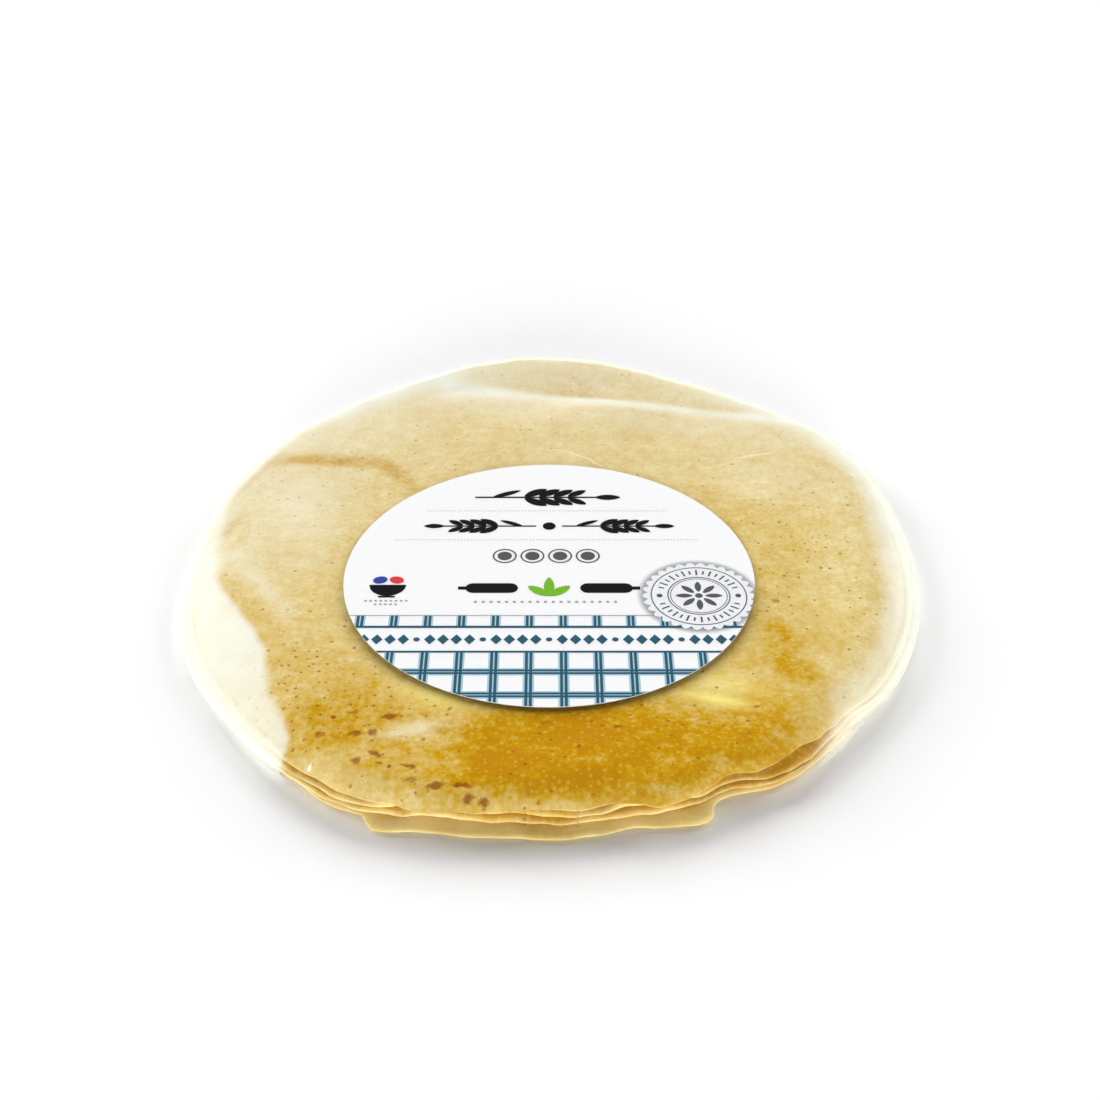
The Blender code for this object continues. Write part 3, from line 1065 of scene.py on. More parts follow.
@dataclass
class Wiring:
    """A short hand for adding nodes to one tree."""

    tree: bpy.types.NodeTree

    def add(self, kind: str, **settings: object) -> bpy.types.Node:
        """Add a node and set its properties."""
        node = self.tree.nodes.new(kind)
        for key, value in settings.items():
            setattr(node, key, value)
        return node

    def link(self, start: Socket, end: Socket) -> None:
        """Join an output to an input."""
        self.tree.links.new(start, end)

    def feed(self, socket: Socket, value: object) -> None:
        """Give an input a fixed value or another node's output."""
        if isinstance(value, Socket):
            self.link(value, socket)
        else:
            socket.default_value = value

    def calc(self, operation: str, *values: object, clamp: bool = False) -> Socket:
        """Work out a number from others."""
        node = self.add("ShaderNodeMath", operation=operation, use_clamp=clamp)
        for index, value in enumerate(values):
            self.feed(node.inputs[index], value)
        return node.outputs[0]

    def total(self, *values: object) -> Socket:
        """Add up two or more numbers."""
        result = values[0]
        for value in values[1:]:
            result = self.calc("ADD", result, value)
        return result

    def span(self, value: object, low: float, high: float, to_low: float = 0.0, to_high: float = 1.0,
             smooth: bool = True) -> Socket:
        """Map a range of a number onto another range, held at both ends."""
        curve = "SMOOTHSTEP" if smooth else "LINEAR"
        node = self.add("ShaderNodeMapRange", interpolation_type=curve, clamp=True)
        self.feed(node.inputs["Value"], value)
        node.inputs["From Min"].default_value = low
        node.inputs["From Max"].default_value = high
        node.inputs["To Min"].default_value = to_low
        node.inputs["To Max"].default_value = to_high
        return node.outputs["Result"]

    def mix(self, share: object, first: object, second: object, blend: str = "MIX") -> Socket:
        """Mix two colours."""
        node = self.add("ShaderNodeMix", data_type="RGBA", blend_type=blend)
        self.feed(node.inputs[0], share)
        self.feed(node.inputs[6], first)
        self.feed(node.inputs[7], second)
        return node.outputs[2]

    def read(self, name: str) -> Socket:
        """Read a value that the piece's mesh stores."""
        return self.add("ShaderNodeAttribute", attribute_name=name).outputs["Fac"]

    def place(self) -> Socket:
        """Read the place on the piece."""
        return self.add("ShaderNodeTexCoord").outputs["Object"]

    def grain(self, place: object, size: float, detail: float = 2.0, rough: float = 0.5) -> Socket:
        """Read soft noise whose bumps are about one size, in metres."""
        node = self.add("ShaderNodeTexNoise")
        self.feed(node.inputs["Vector"], place)
        node.inputs["Scale"].default_value = 1.0 / size
        node.inputs["Detail"].default_value = detail
        node.inputs["Roughness"].default_value = rough
        return node.outputs["Fac"]

    def mottle(self, place: object, size: float, detail: float, low: float, high: float) -> Socket:
        """Read soft noise spread over a range."""
        return self.span(self.grain(place, size, detail), *NOISE_RANGE, low, high)

    def stray(self, place: object, size: float, reach: object) -> Socket:
        """Push places about by soft noise, so that what is drawn with them gets uneven outlines.

        Args:
            place: The socket of the place on the piece.
            size: The size of the noise's bumps, in metres.
            reach: How far apart the places' furthest strays lie, in metres.

        Returns:
            The socket of the strayed place.
        """
        source = self.add("ShaderNodeTexNoise")
        self.feed(source.inputs["Vector"], place)
        source.inputs["Scale"].default_value = 1.0 / size
        centred = self.add("ShaderNodeVectorMath", operation="SUBTRACT")
        self.link(source.outputs["Color"], centred.inputs[0])
        centred.inputs[1].default_value = (0.5, 0.5, 0.5)
        scaled = self.add("ShaderNodeVectorMath", operation="SCALE")
        self.link(centred.outputs[0], scaled.inputs[0])
        self.feed(scaled.inputs["Scale"], reach)
        moved = self.add("ShaderNodeVectorMath", operation="ADD")
        self.feed(moved.inputs[0], place)
        self.link(scaled.outputs[0], moved.inputs[1])
        return moved.outputs[0]

    def blend(self, share: Socket, first: Socket, second: Socket) -> Socket:
        """Mix two shaders."""
        node = self.add("ShaderNodeMixShader")
        for index, socket in enumerate((share, first, second)):
            self.link(socket, node.inputs[index])
        return node.outputs[0]

    def put_out(self, shader: Socket) -> None:
        """Make a shader the material's surface."""
        self.link(shader, self.add("ShaderNodeOutputMaterial").inputs["Surface"])

    def surface(self, values: dict[str, object]) -> None:
        """Make the material's surface one shader, whose inputs are set by name."""
        shader = self.add("ShaderNodeBsdfPrincipled")
        for name, value in values.items():
            self.feed(shader.inputs[name], value)
        self.put_out(shader.outputs[0])

    def bump(self, height: object, strength: float, distance: float) -> Socket:
        """Turn a height into a bumped normal."""
        node = self.add("ShaderNodeBump")
        node.inputs["Strength"].default_value = strength
        node.inputs["Distance"].default_value = distance
        self.feed(node.inputs["Height"], height)
        return node.outputs["Normal"]


@dataclass(frozen=True)
class BatterColours:
    """The colours of baked wheat batter, from unbrowned to dark spots, and of the painted highlights, painted
    shadow and painted film glare mixed into it.
    """

    pale: Colour = paint(236, 224, 176)
    cream: Colour = paint(224, 202, 138)
    honey: Colour = paint(211, 178, 90)
    gold: Colour = paint(200, 154, 6)
    amber: Colour = paint(190, 134, 0)
    pore: Colour = paint(150, 98, 16)
    scorch: Colour = paint(146, 80, 0)
    fleck: Colour = paint(228, 190, 76)
    # Buttery yellow, also used for painted highlights.
    butter_and_highlight: Colour = paint(250, 236, 142)
    rim: Colour = paint(255, 232, 156)
    # Colour of the painted shadow in front of the label.
    shade: Colour = paint(128, 118, 62)
    # White of the film's painted glare.
    glare_milk: Colour = paint(246, 247, 233)


@dataclass
class ShaderGroups:
    """The node groups that more than one finish uses."""

    pits: bpy.types.NodeTree | None = None
    mark: bpy.types.NodeTree | None = None

    def build(self) -> None:
        """Make every shared group."""
        self.pits = self.make_pits()
        self.mark = self.make_mark()

    @staticmethod
    def make_mark() -> bpy.types.NodeTree:
        """Make the group that draws one soft oval mark.

        Returns:
            A group from a place, the mark's middle, its turn and its half sizes to a mask.
        """
        tree = bpy.data.node_groups.new("soft_mark", "ShaderNodeTree")
        face = tree.interface
        for name in ("Place", "Middle", "Turn", "Half Sizes"):
            face.new_socket(name, in_out="INPUT", socket_type="NodeSocketVector")
        face.new_socket("Mask", in_out="OUTPUT", socket_type="NodeSocketFloat")
        wires = Wiring(tree)
        source = wires.add("NodeGroupInput")
        sink = wires.add("NodeGroupOutput")
        centred = wires.add("ShaderNodeMapping", vector_type="TEXTURE")
        wires.link(source.outputs["Place"], centred.inputs["Vector"])
        wires.link(source.outputs["Middle"], centred.inputs["Location"])
        wires.link(source.outputs["Turn"], centred.inputs["Rotation"])
        wires.link(source.outputs["Half Sizes"], centred.inputs["Scale"])
        away = wires.add("ShaderNodeVectorMath", operation="LENGTH")
        wires.link(centred.outputs[0], away.inputs[0])
        wires.link(wires.span(away.outputs["Value"], 0.45, 1.25, 1.0, 0.0), sink.inputs["Mask"])
        return tree

    def draw_marks(self, wires: Wiring, place: object, marks: Sequence[Patch]) -> Socket:
        """Place soft marks in a material.

        Args:
            wires: The material's wiring.
            place: The socket of the place on the piece.
            marks: The marks.

        Returns:
            The mask of all the marks.
        """
        total = 0.0
        for mark in marks:
            node = wires.add("ShaderNodeGroup")
            node.node_tree = self.mark
            wires.feed(node.inputs["Place"], place)
            node.inputs["Middle"].default_value = (mark.centre[0] * MM, mark.centre[1] * MM, 0.0)
            node.inputs["Turn"].default_value = (0.0, 0.0, math.radians(mark.turn))
            node.inputs["Half Sizes"].default_value = (mark.size[0] * MM, mark.size[1] * MM, 1.0)
            weighed = wires.calc("MULTIPLY", node.outputs["Mask"], mark.weight)
            total = wires.calc("MAXIMUM", total, weighed)
        return total

    @staticmethod
    def make_pits() -> bpy.types.NodeTree:
        """Make the group that scatters small round pits over a surface.

        Returns:
            A group from a place, a cell size, a radius, a density and a wobble to a mask.
        """
        tree = bpy.data.node_groups.new("scattered_pits", "ShaderNodeTree")
        face = tree.interface
        face.new_socket("Place", in_out="INPUT", socket_type="NodeSocketVector")
        for name, default in (("Cells", 200.0), ("Radius", 0.15), ("Density", 0.5), ("Wobble", 0.0)):
            socket = face.new_socket(name, in_out="INPUT", socket_type="NodeSocketFloat")
            socket.default_value = default
        face.new_socket("Mask", in_out="OUTPUT", socket_type="NodeSocketFloat")
        wires = Wiring(tree)
        source = wires.add("NodeGroupInput")
        sink = wires.add("NodeGroupOutput")
        strayed = wires.stray(source.outputs["Place"], PIT_UNEVENNESS, source.outputs["Wobble"])
        cells = wires.add("ShaderNodeTexVoronoi", feature="F1", voronoi_dimensions="2D")
        wires.link(strayed, cells.inputs["Vector"])
        wires.link(source.outputs["Cells"], cells.inputs["Scale"])
        split = wires.add("ShaderNodeSeparateColor")
        wires.link(cells.outputs["Color"], split.inputs[0])
        chosen = wires.calc("LESS_THAN", split.outputs[0], source.outputs["Density"])
        size = wires.calc("MULTIPLY_ADD", split.outputs[1], 0.9, 0.45)
        radius = wires.calc("MULTIPLY", size, source.outputs["Radius"])
        near = wires.calc("DIVIDE", cells.outputs["Distance"], radius)
        round_pit = wires.span(near, 0.55, 1.25, 1.0, 0.0)
        wires.link(wires.calc("MULTIPLY", round_pit, chosen), sink.inputs["Mask"])
        return tree

    def scatter(self, wires: Wiring, place: object, cell: float, radius: float, density: object,
                wobble: float = 0.0) -> Socket:
        """Place the pit group in a material.

        Args:
            wires: The material's wiring.
            place: The socket of the place on the piece.
            cell: The size of a cell, in metres.
            radius: The pit's radius as a share of a cell.
            density: How many of the cells hold a pit, from 0 to 1.
            wobble: How far the pits' outlines stray, in metres.

        Returns:
            The mask.
        """
        node = wires.add("ShaderNodeGroup")
        node.node_tree = self.pits
        wires.feed(node.inputs["Place"], place)
        node.inputs["Cells"].default_value = 1.0 / cell
        node.inputs["Radius"].default_value = radius
        wires.feed(node.inputs["Density"], density)
        node.inputs["Wobble"].default_value = wobble
        return node.outputs["Mask"]


@dataclass(frozen=True)
class BatterFinish:
    """The baked face of a crepe: mottled gold, fine pores, scorch marks and pale flecks, with painted
    highlights, a painted shadow in front of the label and the film's painted glare mixed in.
    """

    groups: ShaderGroups
    colours: BatterColours = BatterColours()
    top_layer: int = 3
    mottles: tuple[tuple[float, float, float, float], ...] = (
        (26.0 * MM, 2.0, 0.5, 0.14),
        (6.0 * MM, 3.0, 0.6, 0.21),
        (1.7 * MM, 3.0, 0.65, 0.21),
    )
    lively_from: tuple[float, float] = (0.3, 0.8)
    lively_to: tuple[float, float] = (0.55, 1.0)
    tint_stops: tuple[float, float, float] = (0.25, 0.50, 0.76)
    fleck_share: float = 0.36
    pore_share: float = 0.70
    rim_share: float = 0.90
    top_rim_share: float = 0.12
    scorch_share: float = 0.86
    cloudiness: tuple[float, float] = (0.88, 1.06)
    scorches: tuple[Patch, ...] = (
        Patch((-49.3, -89.7), (3.2, 1.6), 1.0, 8.0),
        Patch((-54.2, -96.6), (1.3, 1.7), 0.9, 30.0),
        Patch((-59.3, -97.0), (1.7, 1.5), 0.9),
        Patch((-66.8, -90.2), (1.1, 1.2), 1.0),
        Patch((-70.0, -97.0), (1.7, 1.3), 0.7),
        Patch((-61.0, -88.0), (2.2, 1.0), 0.6, 10.0),
        Patch((-52.3, -106.4), (2.7, 1.3), 1.0, -32.0),
        Patch((-58.0, -109.0), (1.4, 1.7), 0.9),
        Patch((-51.0, -110.4), (1.3, 0.9), 0.8),
        Patch((-42.0, -112.2), (2.4, 1.1), 1.0, -16.0),
        Patch((-48.0, -112.0), (0.9, 0.9), 1.0),
        Patch((-41.0, -117.5), (2.0, 1.1), 0.7),
        Patch((-33.8, -120.3), (2.7, 1.4), 1.0, 6.0),
        Patch((-26.0, -120.3), (3.2, 1.0), 1.0, -4.0),
        Patch((-24.0, -124.0), (1.9, 1.6), 1.0, 20.0),
        Patch((-19.6, -125.0), (1.9, 1.5), 1.0, -20.0),
        Patch((-8.0, -128.0), (2.2, 0.9), 0.9, -6.0),
        Patch((-31.0, -86.6), (0.9, 1.0), 0.7),
        Patch((20.5, -95.0), (1.5, 0.8), 0.9, 8.0),
        Patch((15.8, -94.6), (0.9, 0.8), 0.8),
        Patch((-1.0, -92.5), (2.6, 1.2), 0.5, 10.0),
        Patch((8.5, -104.5), (1.0, 1.0), 0.8),
        Patch((75.5, -30.5), (1.5, 1.5), 0.6, 40.0),
        Patch((63.5, -85.4), (1.3, 0.9), 0.8),
    )

    def make(self, name: str, layer: int) -> bpy.types.Material:
        """Make the finish.

        Args:
            name: The material's name.
            layer: The crepe's number, from 0 at the bottom.

        Returns:
            The material.
        """
        material, wires = new_material(name)
        place = wires.place()
        golden = wires.read("golden")
        mottles = [
            wires.span(wires.grain(place, size, detail, rough), *NOISE_RANGE, -swing, swing, smooth=False)
            for size, detail, rough, swing in self.mottles
        ]
        lively = wires.span(golden, *self.lively_from, *self.lively_to)
        brown = wires.total(golden, wires.calc("MULTIPLY", wires.total(*mottles), lively))
        tints = wires.add("ShaderNodeValToRGB")
        wires.link(brown, tints.inputs[0])
        stops = tints.color_ramp.elements
        stops[0].position = 0.0
        stops[0].color = self.colours.pale
        stops[1].position = 1.0
        stops[1].color = self.colours.amber
        between = (self.colours.cream, self.colours.honey, self.colours.gold)
        for position, colour in zip(self.tint_stops, between):
            stops.new(position).color = colour
        flecks = self.groups.scatter(wires, place, 2.2 * MM, 0.27, 0.50, 1.0 * MM)
        pores = self.groups.scatter(wires, place, 4.0 * MM, 0.12, wires.read("pores"), 0.6 * MM)
        rim_share = self.top_rim_share if layer == self.top_layer else self.rim_share
        colour = tints.outputs["Color"]
        # The second share lays buttery yellow, with painted highlights.
        for share, tint in (
            (wires.calc("MULTIPLY", flecks, self.fleck_share), self.colours.fleck),
            (wires.read("butter_and_highlight"), self.colours.butter_and_highlight),
            (wires.calc("MULTIPLY", pores, self.pore_share), self.colours.pore),
            (wires.calc("MULTIPLY", wires.read("edge"), rim_share), self.colours.rim),
        ):
            colour = wires.mix(share, colour, tint)
        scorched = 0.0
        if layer == self.top_layer:
            strayed = wires.stray(place, 1.6 * MM, 2.6 * MM)
            scorched = self.groups.draw_marks(wires, strayed, self.scorches)
            burnt = wires.calc("MULTIPLY", scorched, self.scorch_share)
            colour = wires.mix(burnt, colour, self.colours.scorch)
            # Painted shadow in front of the label.
            colour = wires.mix(wires.read("shade"), colour, self.colours.shade, "MULTIPLY")
        # Painted glare of the film, mixed into the base colour as a milky white.
        cloudy = wires.mottle(place, 14.0 * MM, 3.0, *self.cloudiness)
        glare_haze = wires.calc("MULTIPLY", wires.read("glare_haze"), cloudy, clamp=True)
        height = wires.total(
            wires.calc("MULTIPLY", wires.grain(place, 2.2 * MM, 4.0, 0.6), 0.5),
            wires.calc("MULTIPLY", pores, -0.8),
            wires.calc("MULTIPLY", scorched, -0.4),
            wires.calc("MULTIPLY", flecks, 0.10),
        )
        wires.surface({
            "Base Color": wires.mix(glare_haze, colour, self.colours.glare_milk),
            "Roughness": 0.62,
            "Specular IOR Level": 0.05,
            "Normal": wires.bump(height, 0.5, 0.35 * MM),
        })
        return material


@dataclass(frozen=True)
class FilmFinish:
    """Clear glossy wrap, with the film's glare painted as a milky white where it stands off the crepes, and
    painted highlights along its creases.
    """

    groups: ShaderGroups
    straight_shine: float = 0.035
    doubled: float = 1.2
    most_shine: float = 0.18
    shine_roughness: float = 0.14
    glare_milk: Colour = BatterColours.glare_milk
    # Film creases, each bumped and given a painted highlight; the last mark is a painted glint.
    creases_and_highlights: tuple[Patch, ...] = (
        Patch((1.0, 65.5), (9.0, 0.5), 0.20, -4.0),
        Patch((11.0, 61.0), (8.0, 0.4), 0.32, -32.0),
        Patch((18.0, 54.5), (5.0, 0.4), 0.24, -40.0),
        Patch((66.0, 56.0), (9.0, 0.5), 0.22, 22.0),
        Patch((77.0, 61.5), (9.0, 0.7), 0.30, 14.0),
        Patch((60.0, 53.0), (6.0, 0.4), 0.22, 2.0),
        Patch((72.0, 30.5), (9.0, 0.4), 0.20, 2.0),
        Patch((88.0, 28.5), (7.0, 0.4), 0.20, -6.0),
        Patch((-72.3, -108.6), (1.6, 0.8), 0.80, 75.0),
    )

    def make(self) -> bpy.types.Material:
        """Make the finish.

        Returns:
            The material.
        """
        material, wires = new_material("clear_film")
        place = wires.place()
        creases_and_highlights = self.groups.draw_marks(wires, wires.stray(place, 7.0 * MM, 1.2 * MM), self.creases_and_highlights)
        height = wires.total(
            wires.calc("MULTIPLY", wires.grain(place, 9.0 * MM, 3.0, 0.55), 0.35),
            wires.grain(place, 30.0 * MM, 1.0),
            wires.calc("MULTIPLY", creases_and_highlights, 0.5),
        )
        normal = wires.bump(height, 0.30, 0.6 * MM)
        # Painted glare: a milky white diffuse share where the film stands off the crepes and along its
        # creases.
        patchy = wires.mottle(place, 14.0 * MM, 3.0, 0.90, 1.05)
        glare_haze = wires.calc("MULTIPLY", wires.read("glare_haze"), patchy)
        # The creases' painted highlights join the painted glare.
        glare_haze = wires.calc("MAXIMUM", glare_haze, creases_and_highlights, clamp=True)
        clear = wires.add("ShaderNodeBsdfTransparent")
        glare_milk = wires.add("ShaderNodeBsdfDiffuse")
        glare_milk.inputs["Color"].default_value = self.glare_milk
        body = wires.blend(glare_haze, clear.outputs[0], glare_milk.outputs[0])
        shine = wires.add("ShaderNodeBsdfGlossy")
        shine.inputs["Color"].default_value = (1.0, 1.0, 1.0, 1.0)
        shine.inputs["Roughness"].default_value = self.shine_roughness
        wires.link(normal, shine.inputs["Normal"])
        slant = wires.add("ShaderNodeLayerWeight")
        slant.inputs["Blend"].default_value = 0.5
        wires.link(normal, slant.inputs["Normal"])
        rising = wires.calc("POWER", slant.outputs["Facing"], 5.0)
        share = wires.calc("MULTIPLY_ADD", rising, 1.0 - self.straight_shine, self.straight_shine)
        share = wires.calc("MINIMUM", wires.calc("MULTIPLY", share, self.doubled), self.most_shine)
        wires.put_out(wires.blend(share, body, shine.outputs[0]))
        return material


class Ink(Enum):
    """The inks of the label's print, as screen colours."""

    BLACK = (18, 18, 20)
    GREY = (84, 85, 87)
    LIGHT_GREY = (160, 162, 164)
    SILVER = (228, 229, 231)
    TEAL = (44, 88, 106)
    PALE_BLUE = (166, 196, 210)
    GREEN = (112, 176, 42)
    BLUE = (54, 68, 156)
    RED = (214, 58, 62)


@dataclass(frozen=True)
class InkFinish:
    """A flat printing ink with a faint grain."""

    ink: Ink
    lighter: float = 1.10

    def make(self) -> bpy.types.Material:
        """Make the finish.

        Returns:
            The material.
        """
        material, wires = new_material(f"ink_{self.ink.name.lower()}")
        colour = paint(*self.ink.value)
        grain = wires.mottle(wires.place(), 0.5 * MM, 2.0, 0.0, 1.0)
        lighter = tuple(min(1.0, channel * self.lighter) for channel in colour[:3]) + (1.0,)
        wires.surface({
            "Base Color": wires.mix(grain, colour, lighter),
            "Roughness": 0.55,
            "Specular IOR Level": 0.12,
        })
        return material


@dataclass(frozen=True)
class PaperFinish:
    """White coated label paper, with a soft grey shade printed round the seal and a painted shade on its
    upright cut edge.
    """

    seal_centre: tuple[float, float, float]
    seal_radius: float
    whites: tuple[Colour, Colour] = (paint(246, 246, 247), paint(240, 241, 242))
    shade: Colour = paint(120, 122, 126)
    shade_strength: float = 0.75
    shade_span: tuple[float, float] = (0.97, 1.13)
    cut_edge_shade: Colour = paint(176, 160, 110)

    def make(self) -> bpy.types.Material:
        """Make the finish.

        Returns:
            The material.
        """
        material, wires = new_material("label_paper")
        place = wires.place()
        away = wires.add("ShaderNodeVectorMath", operation="DISTANCE")
        wires.link(place, away.inputs[0])
        away.inputs[1].default_value = self.seal_centre
        near, far = (self.seal_radius * share for share in self.shade_span)
        shade = wires.span(away.outputs["Value"], near, far, self.shade_strength, 0.0)
        fibre = wires.mottle(place, 0.9 * MM, 3.0, 0.0, 0.5)
        colour = wires.mix(shade, wires.mix(fibre, *self.whites), self.shade)
        # Painted shade on the label's upright cut edge, where the normal is nearly level.
        split = wires.add("ShaderNodeSeparateXYZ")
        wires.link(wires.add("ShaderNodeNewGeometry").outputs["Normal"], split.inputs[0])
        cut_edge_shade = wires.span(wires.calc("ABSOLUTE", split.outputs["Z"]), 0.2, 0.6, 1.0, 0.0)
        wires.surface({
            "Base Color": wires.mix(cut_edge_shade, colour, self.cut_edge_shade),
            "Roughness": 0.48,
            "Normal": wires.bump(wires.grain(place, 1.2 * MM, 2.0), 0.08, 0.05 * MM),
        })
        return material


@dataclass
class InkLayer:
    """One ink of the label's print: flat shapes joined into one thin inlay.

    Attributes:
        name: The piece's name.
        ink: Its ink.
        level: Which layer of print it is, from 0 on the paper.
        shapes: The flat prisms drawn so far, in metres from the label's middle.
    """

    name: str
    ink: Ink
    level: int
    shapes: list[bpy.types.Object] = field(default_factory=list)
    prism: float = 1.0 * MM
    thickness: float = 0.03 * MM
    level_step: float = 0.04 * MM
    border: float = 0.03 * MM

    def keep(self, x: float, y: float, turn: float) -> None:
        """Put the newest shape in its place and keep it.

        Args:
            x: Its place to the right of the label's middle, in millimetres.
            y: Its place behind the label's middle, in millimetres.
            turn: Its turn in degrees.
        """
        obj = bpy.context.object
        obj.location = (x * MM, y * MM, 0.0)
        obj.rotation_euler = (0.0, 0.0, math.radians(turn))
        settle(obj)
        self.shapes.append(obj)

    def bar(self, x: float, y: float, length: float, width: float, turn: float = 0.0) -> None:
        """Draw a straight bar, in millimetres."""
        deselect_all()
        bpy.ops.mesh.primitive_cube_add(size=1.0)
        bpy.context.object.scale = (length * MM, width * MM, self.prism)
        self.keep(x, y, turn)

    def cylinder(self, sides: int, radius: float, ends: str = "NGON") -> bpy.types.Object:
        """Add an upright cylinder or prism, with its radius in metres."""
        deselect_all()
        bpy.ops.mesh.primitive_cylinder_add(
            vertices=sides, radius=radius, depth=self.prism, end_fill_type=ends
        )
        return bpy.context.object

    def disc(
        self, x: float, y: float, radius: float, sides: int = 32, stretch: float = 1.0, turn: float = 0.0
    ) -> None:
        """Draw a filled disc or, with few sides, a lozenge."""
        self.cylinder(sides, radius * MM).scale = (stretch, 1.0, 1.0)
        self.keep(x, y, turn)

    def ring(self, x: float, y: float, radius: float, width: float) -> None:
        """Draw a ring's outline."""
        obj = self.cylinder(72, radius * MM, "NOTHING")
        solid = obj.modifiers.new("line_width", "SOLIDIFY")
        solid.thickness = width * MM
        solid.offset = 0.0
        apply_modifiers(obj)
        self.keep(x, y, 0.0)

    def bowl(self, x: float, y: float, radius: float) -> None:
        """Draw a bowl from the side: the lower half of a disc, with its rim at y."""
        self.cylinder(48, radius * MM)
        bpy.ops.object.mode_set(mode="EDIT")
        bpy.ops.mesh.select_all(action="SELECT")
        bpy.ops.mesh.bisect(
            plane_co=(0.0, 0.0, 0.0), plane_no=(0.0, 1.0, 0.0), use_fill=True, clear_outer=True
        )
        bpy.ops.object.mode_set(mode="OBJECT")
        self.keep(x, y, 0.0)

    def leaf(self, x: float, y: float, length: float, width: float, turn: float) -> None:
        """Draw a leaf or a grain with two pointed ends, from one end at x, y."""
        obj = self.cylinder(24, 1.0)
        places = read_places(obj)
        plump = np.abs(places[:, 1]) ** 0.6
        places[:, 1] = places[:, 1] * plump * width / 2.0 * MM
        places[:, 0] = (places[:, 0] + 1.0) * length / 2.0 * MM
        write_places(obj, places)
        self.keep(x, y, turn)

    def scalloped(self, x: float, y: float, radius: float, teeth: int, depth: float) -> None:
        """Draw a disc with a toothed edge."""
        obj = self.cylinder(teeth * 6, 1.0)
        places = read_places(obj)
        turn = np.arctan2(places[:, 1], places[:, 0])
        reach = radius + depth * (np.abs(np.cos(turn * teeth / 2.0)) - 0.5)
        places[:, 0] = reach * np.cos(turn) * MM
        places[:, 1] = reach * np.sin(turn) * MM
        write_places(obj, places)
        self.keep(x, y, 0.0)

    def ear(self, x: float, y: float, length: float, towards: float, grain: float) -> None:
        """Draw a wheat ear along the x axis.

        Args:
            x: Where its stem starts, in millimetres.
            y: The line of its stem.
            length: Its length from stem to tip.
            towards: 1 when its tip points to the right, -1 to the left.
            grain: The length of one grain.
        """
        stem = length * 0.34
        self.bar(x + towards * length * 0.44, y, length * 0.88, grain * 0.09)
        pairs = int((length - stem - grain) / (grain * 0.56))
        facing = 0.0 if towards > 0.0 else 180.0
        for index in range(pairs):
            start = x + towards * (stem + index * grain * 0.56)
            size = grain * (1.0 - 0.25 * index / pairs)
            for side in (-1.0, 1.0):
                self.leaf(start, y + side * grain * 0.08, size, size * 0.40, facing + towards * side * 30.0)
        self.leaf(x + towards * (length - grain), y, grain, grain * 0.36, facing)
        self.leaf(x + towards * stem * 0.35, y, grain * 1.2, grain * 0.26, facing + towards * 24.0)

    def finish(self) -> bpy.types.Object:
        """Join the shapes, cut them at the label's edge, flatten them and lay them on the label.

        Returns:
            The finished inlay.
        """
        deselect_all()
        for shape in self.shapes:
            shape.select_set(True)
        obj = self.shapes[0]
        bpy.context.view_layer.objects.active = obj
        if len(self.shapes) > 1:
            bpy.ops.object.join()
        obj.name = self.name
        obj.data.name = self.name
        deselect_all()
        bpy.ops.mesh.primitive_cylinder_add(
            vertices=256, radius=LABEL_RADIUS - self.border, depth=self.prism * 3.0
        )
        cutter = bpy.context.object
        clip = obj.modifiers.new("label_edge", "BOOLEAN")
        clip.operation = "INTERSECT"
        clip.solver = "EXACT"
        clip.use_self = True
        clip.object = cutter
        apply_modifiers(obj)
        bpy.data.objects.remove(cutter)
        obj.scale = (1.0, 1.0, self.thickness / self.prism)
        lift = LABEL_TOP + self.thickness + self.level * self.level_step
        obj.location = (LABEL_CENTRE[0], LABEL_CENTRE[1], lift)
        settle(obj)
        obj.data.materials.clear()
        obj.data.materials.append(InkFinish(self.ink).make())
        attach(obj, "root")
        log.info("%s: %d faces", obj.name, len(obj.data.polygons))
        return obj


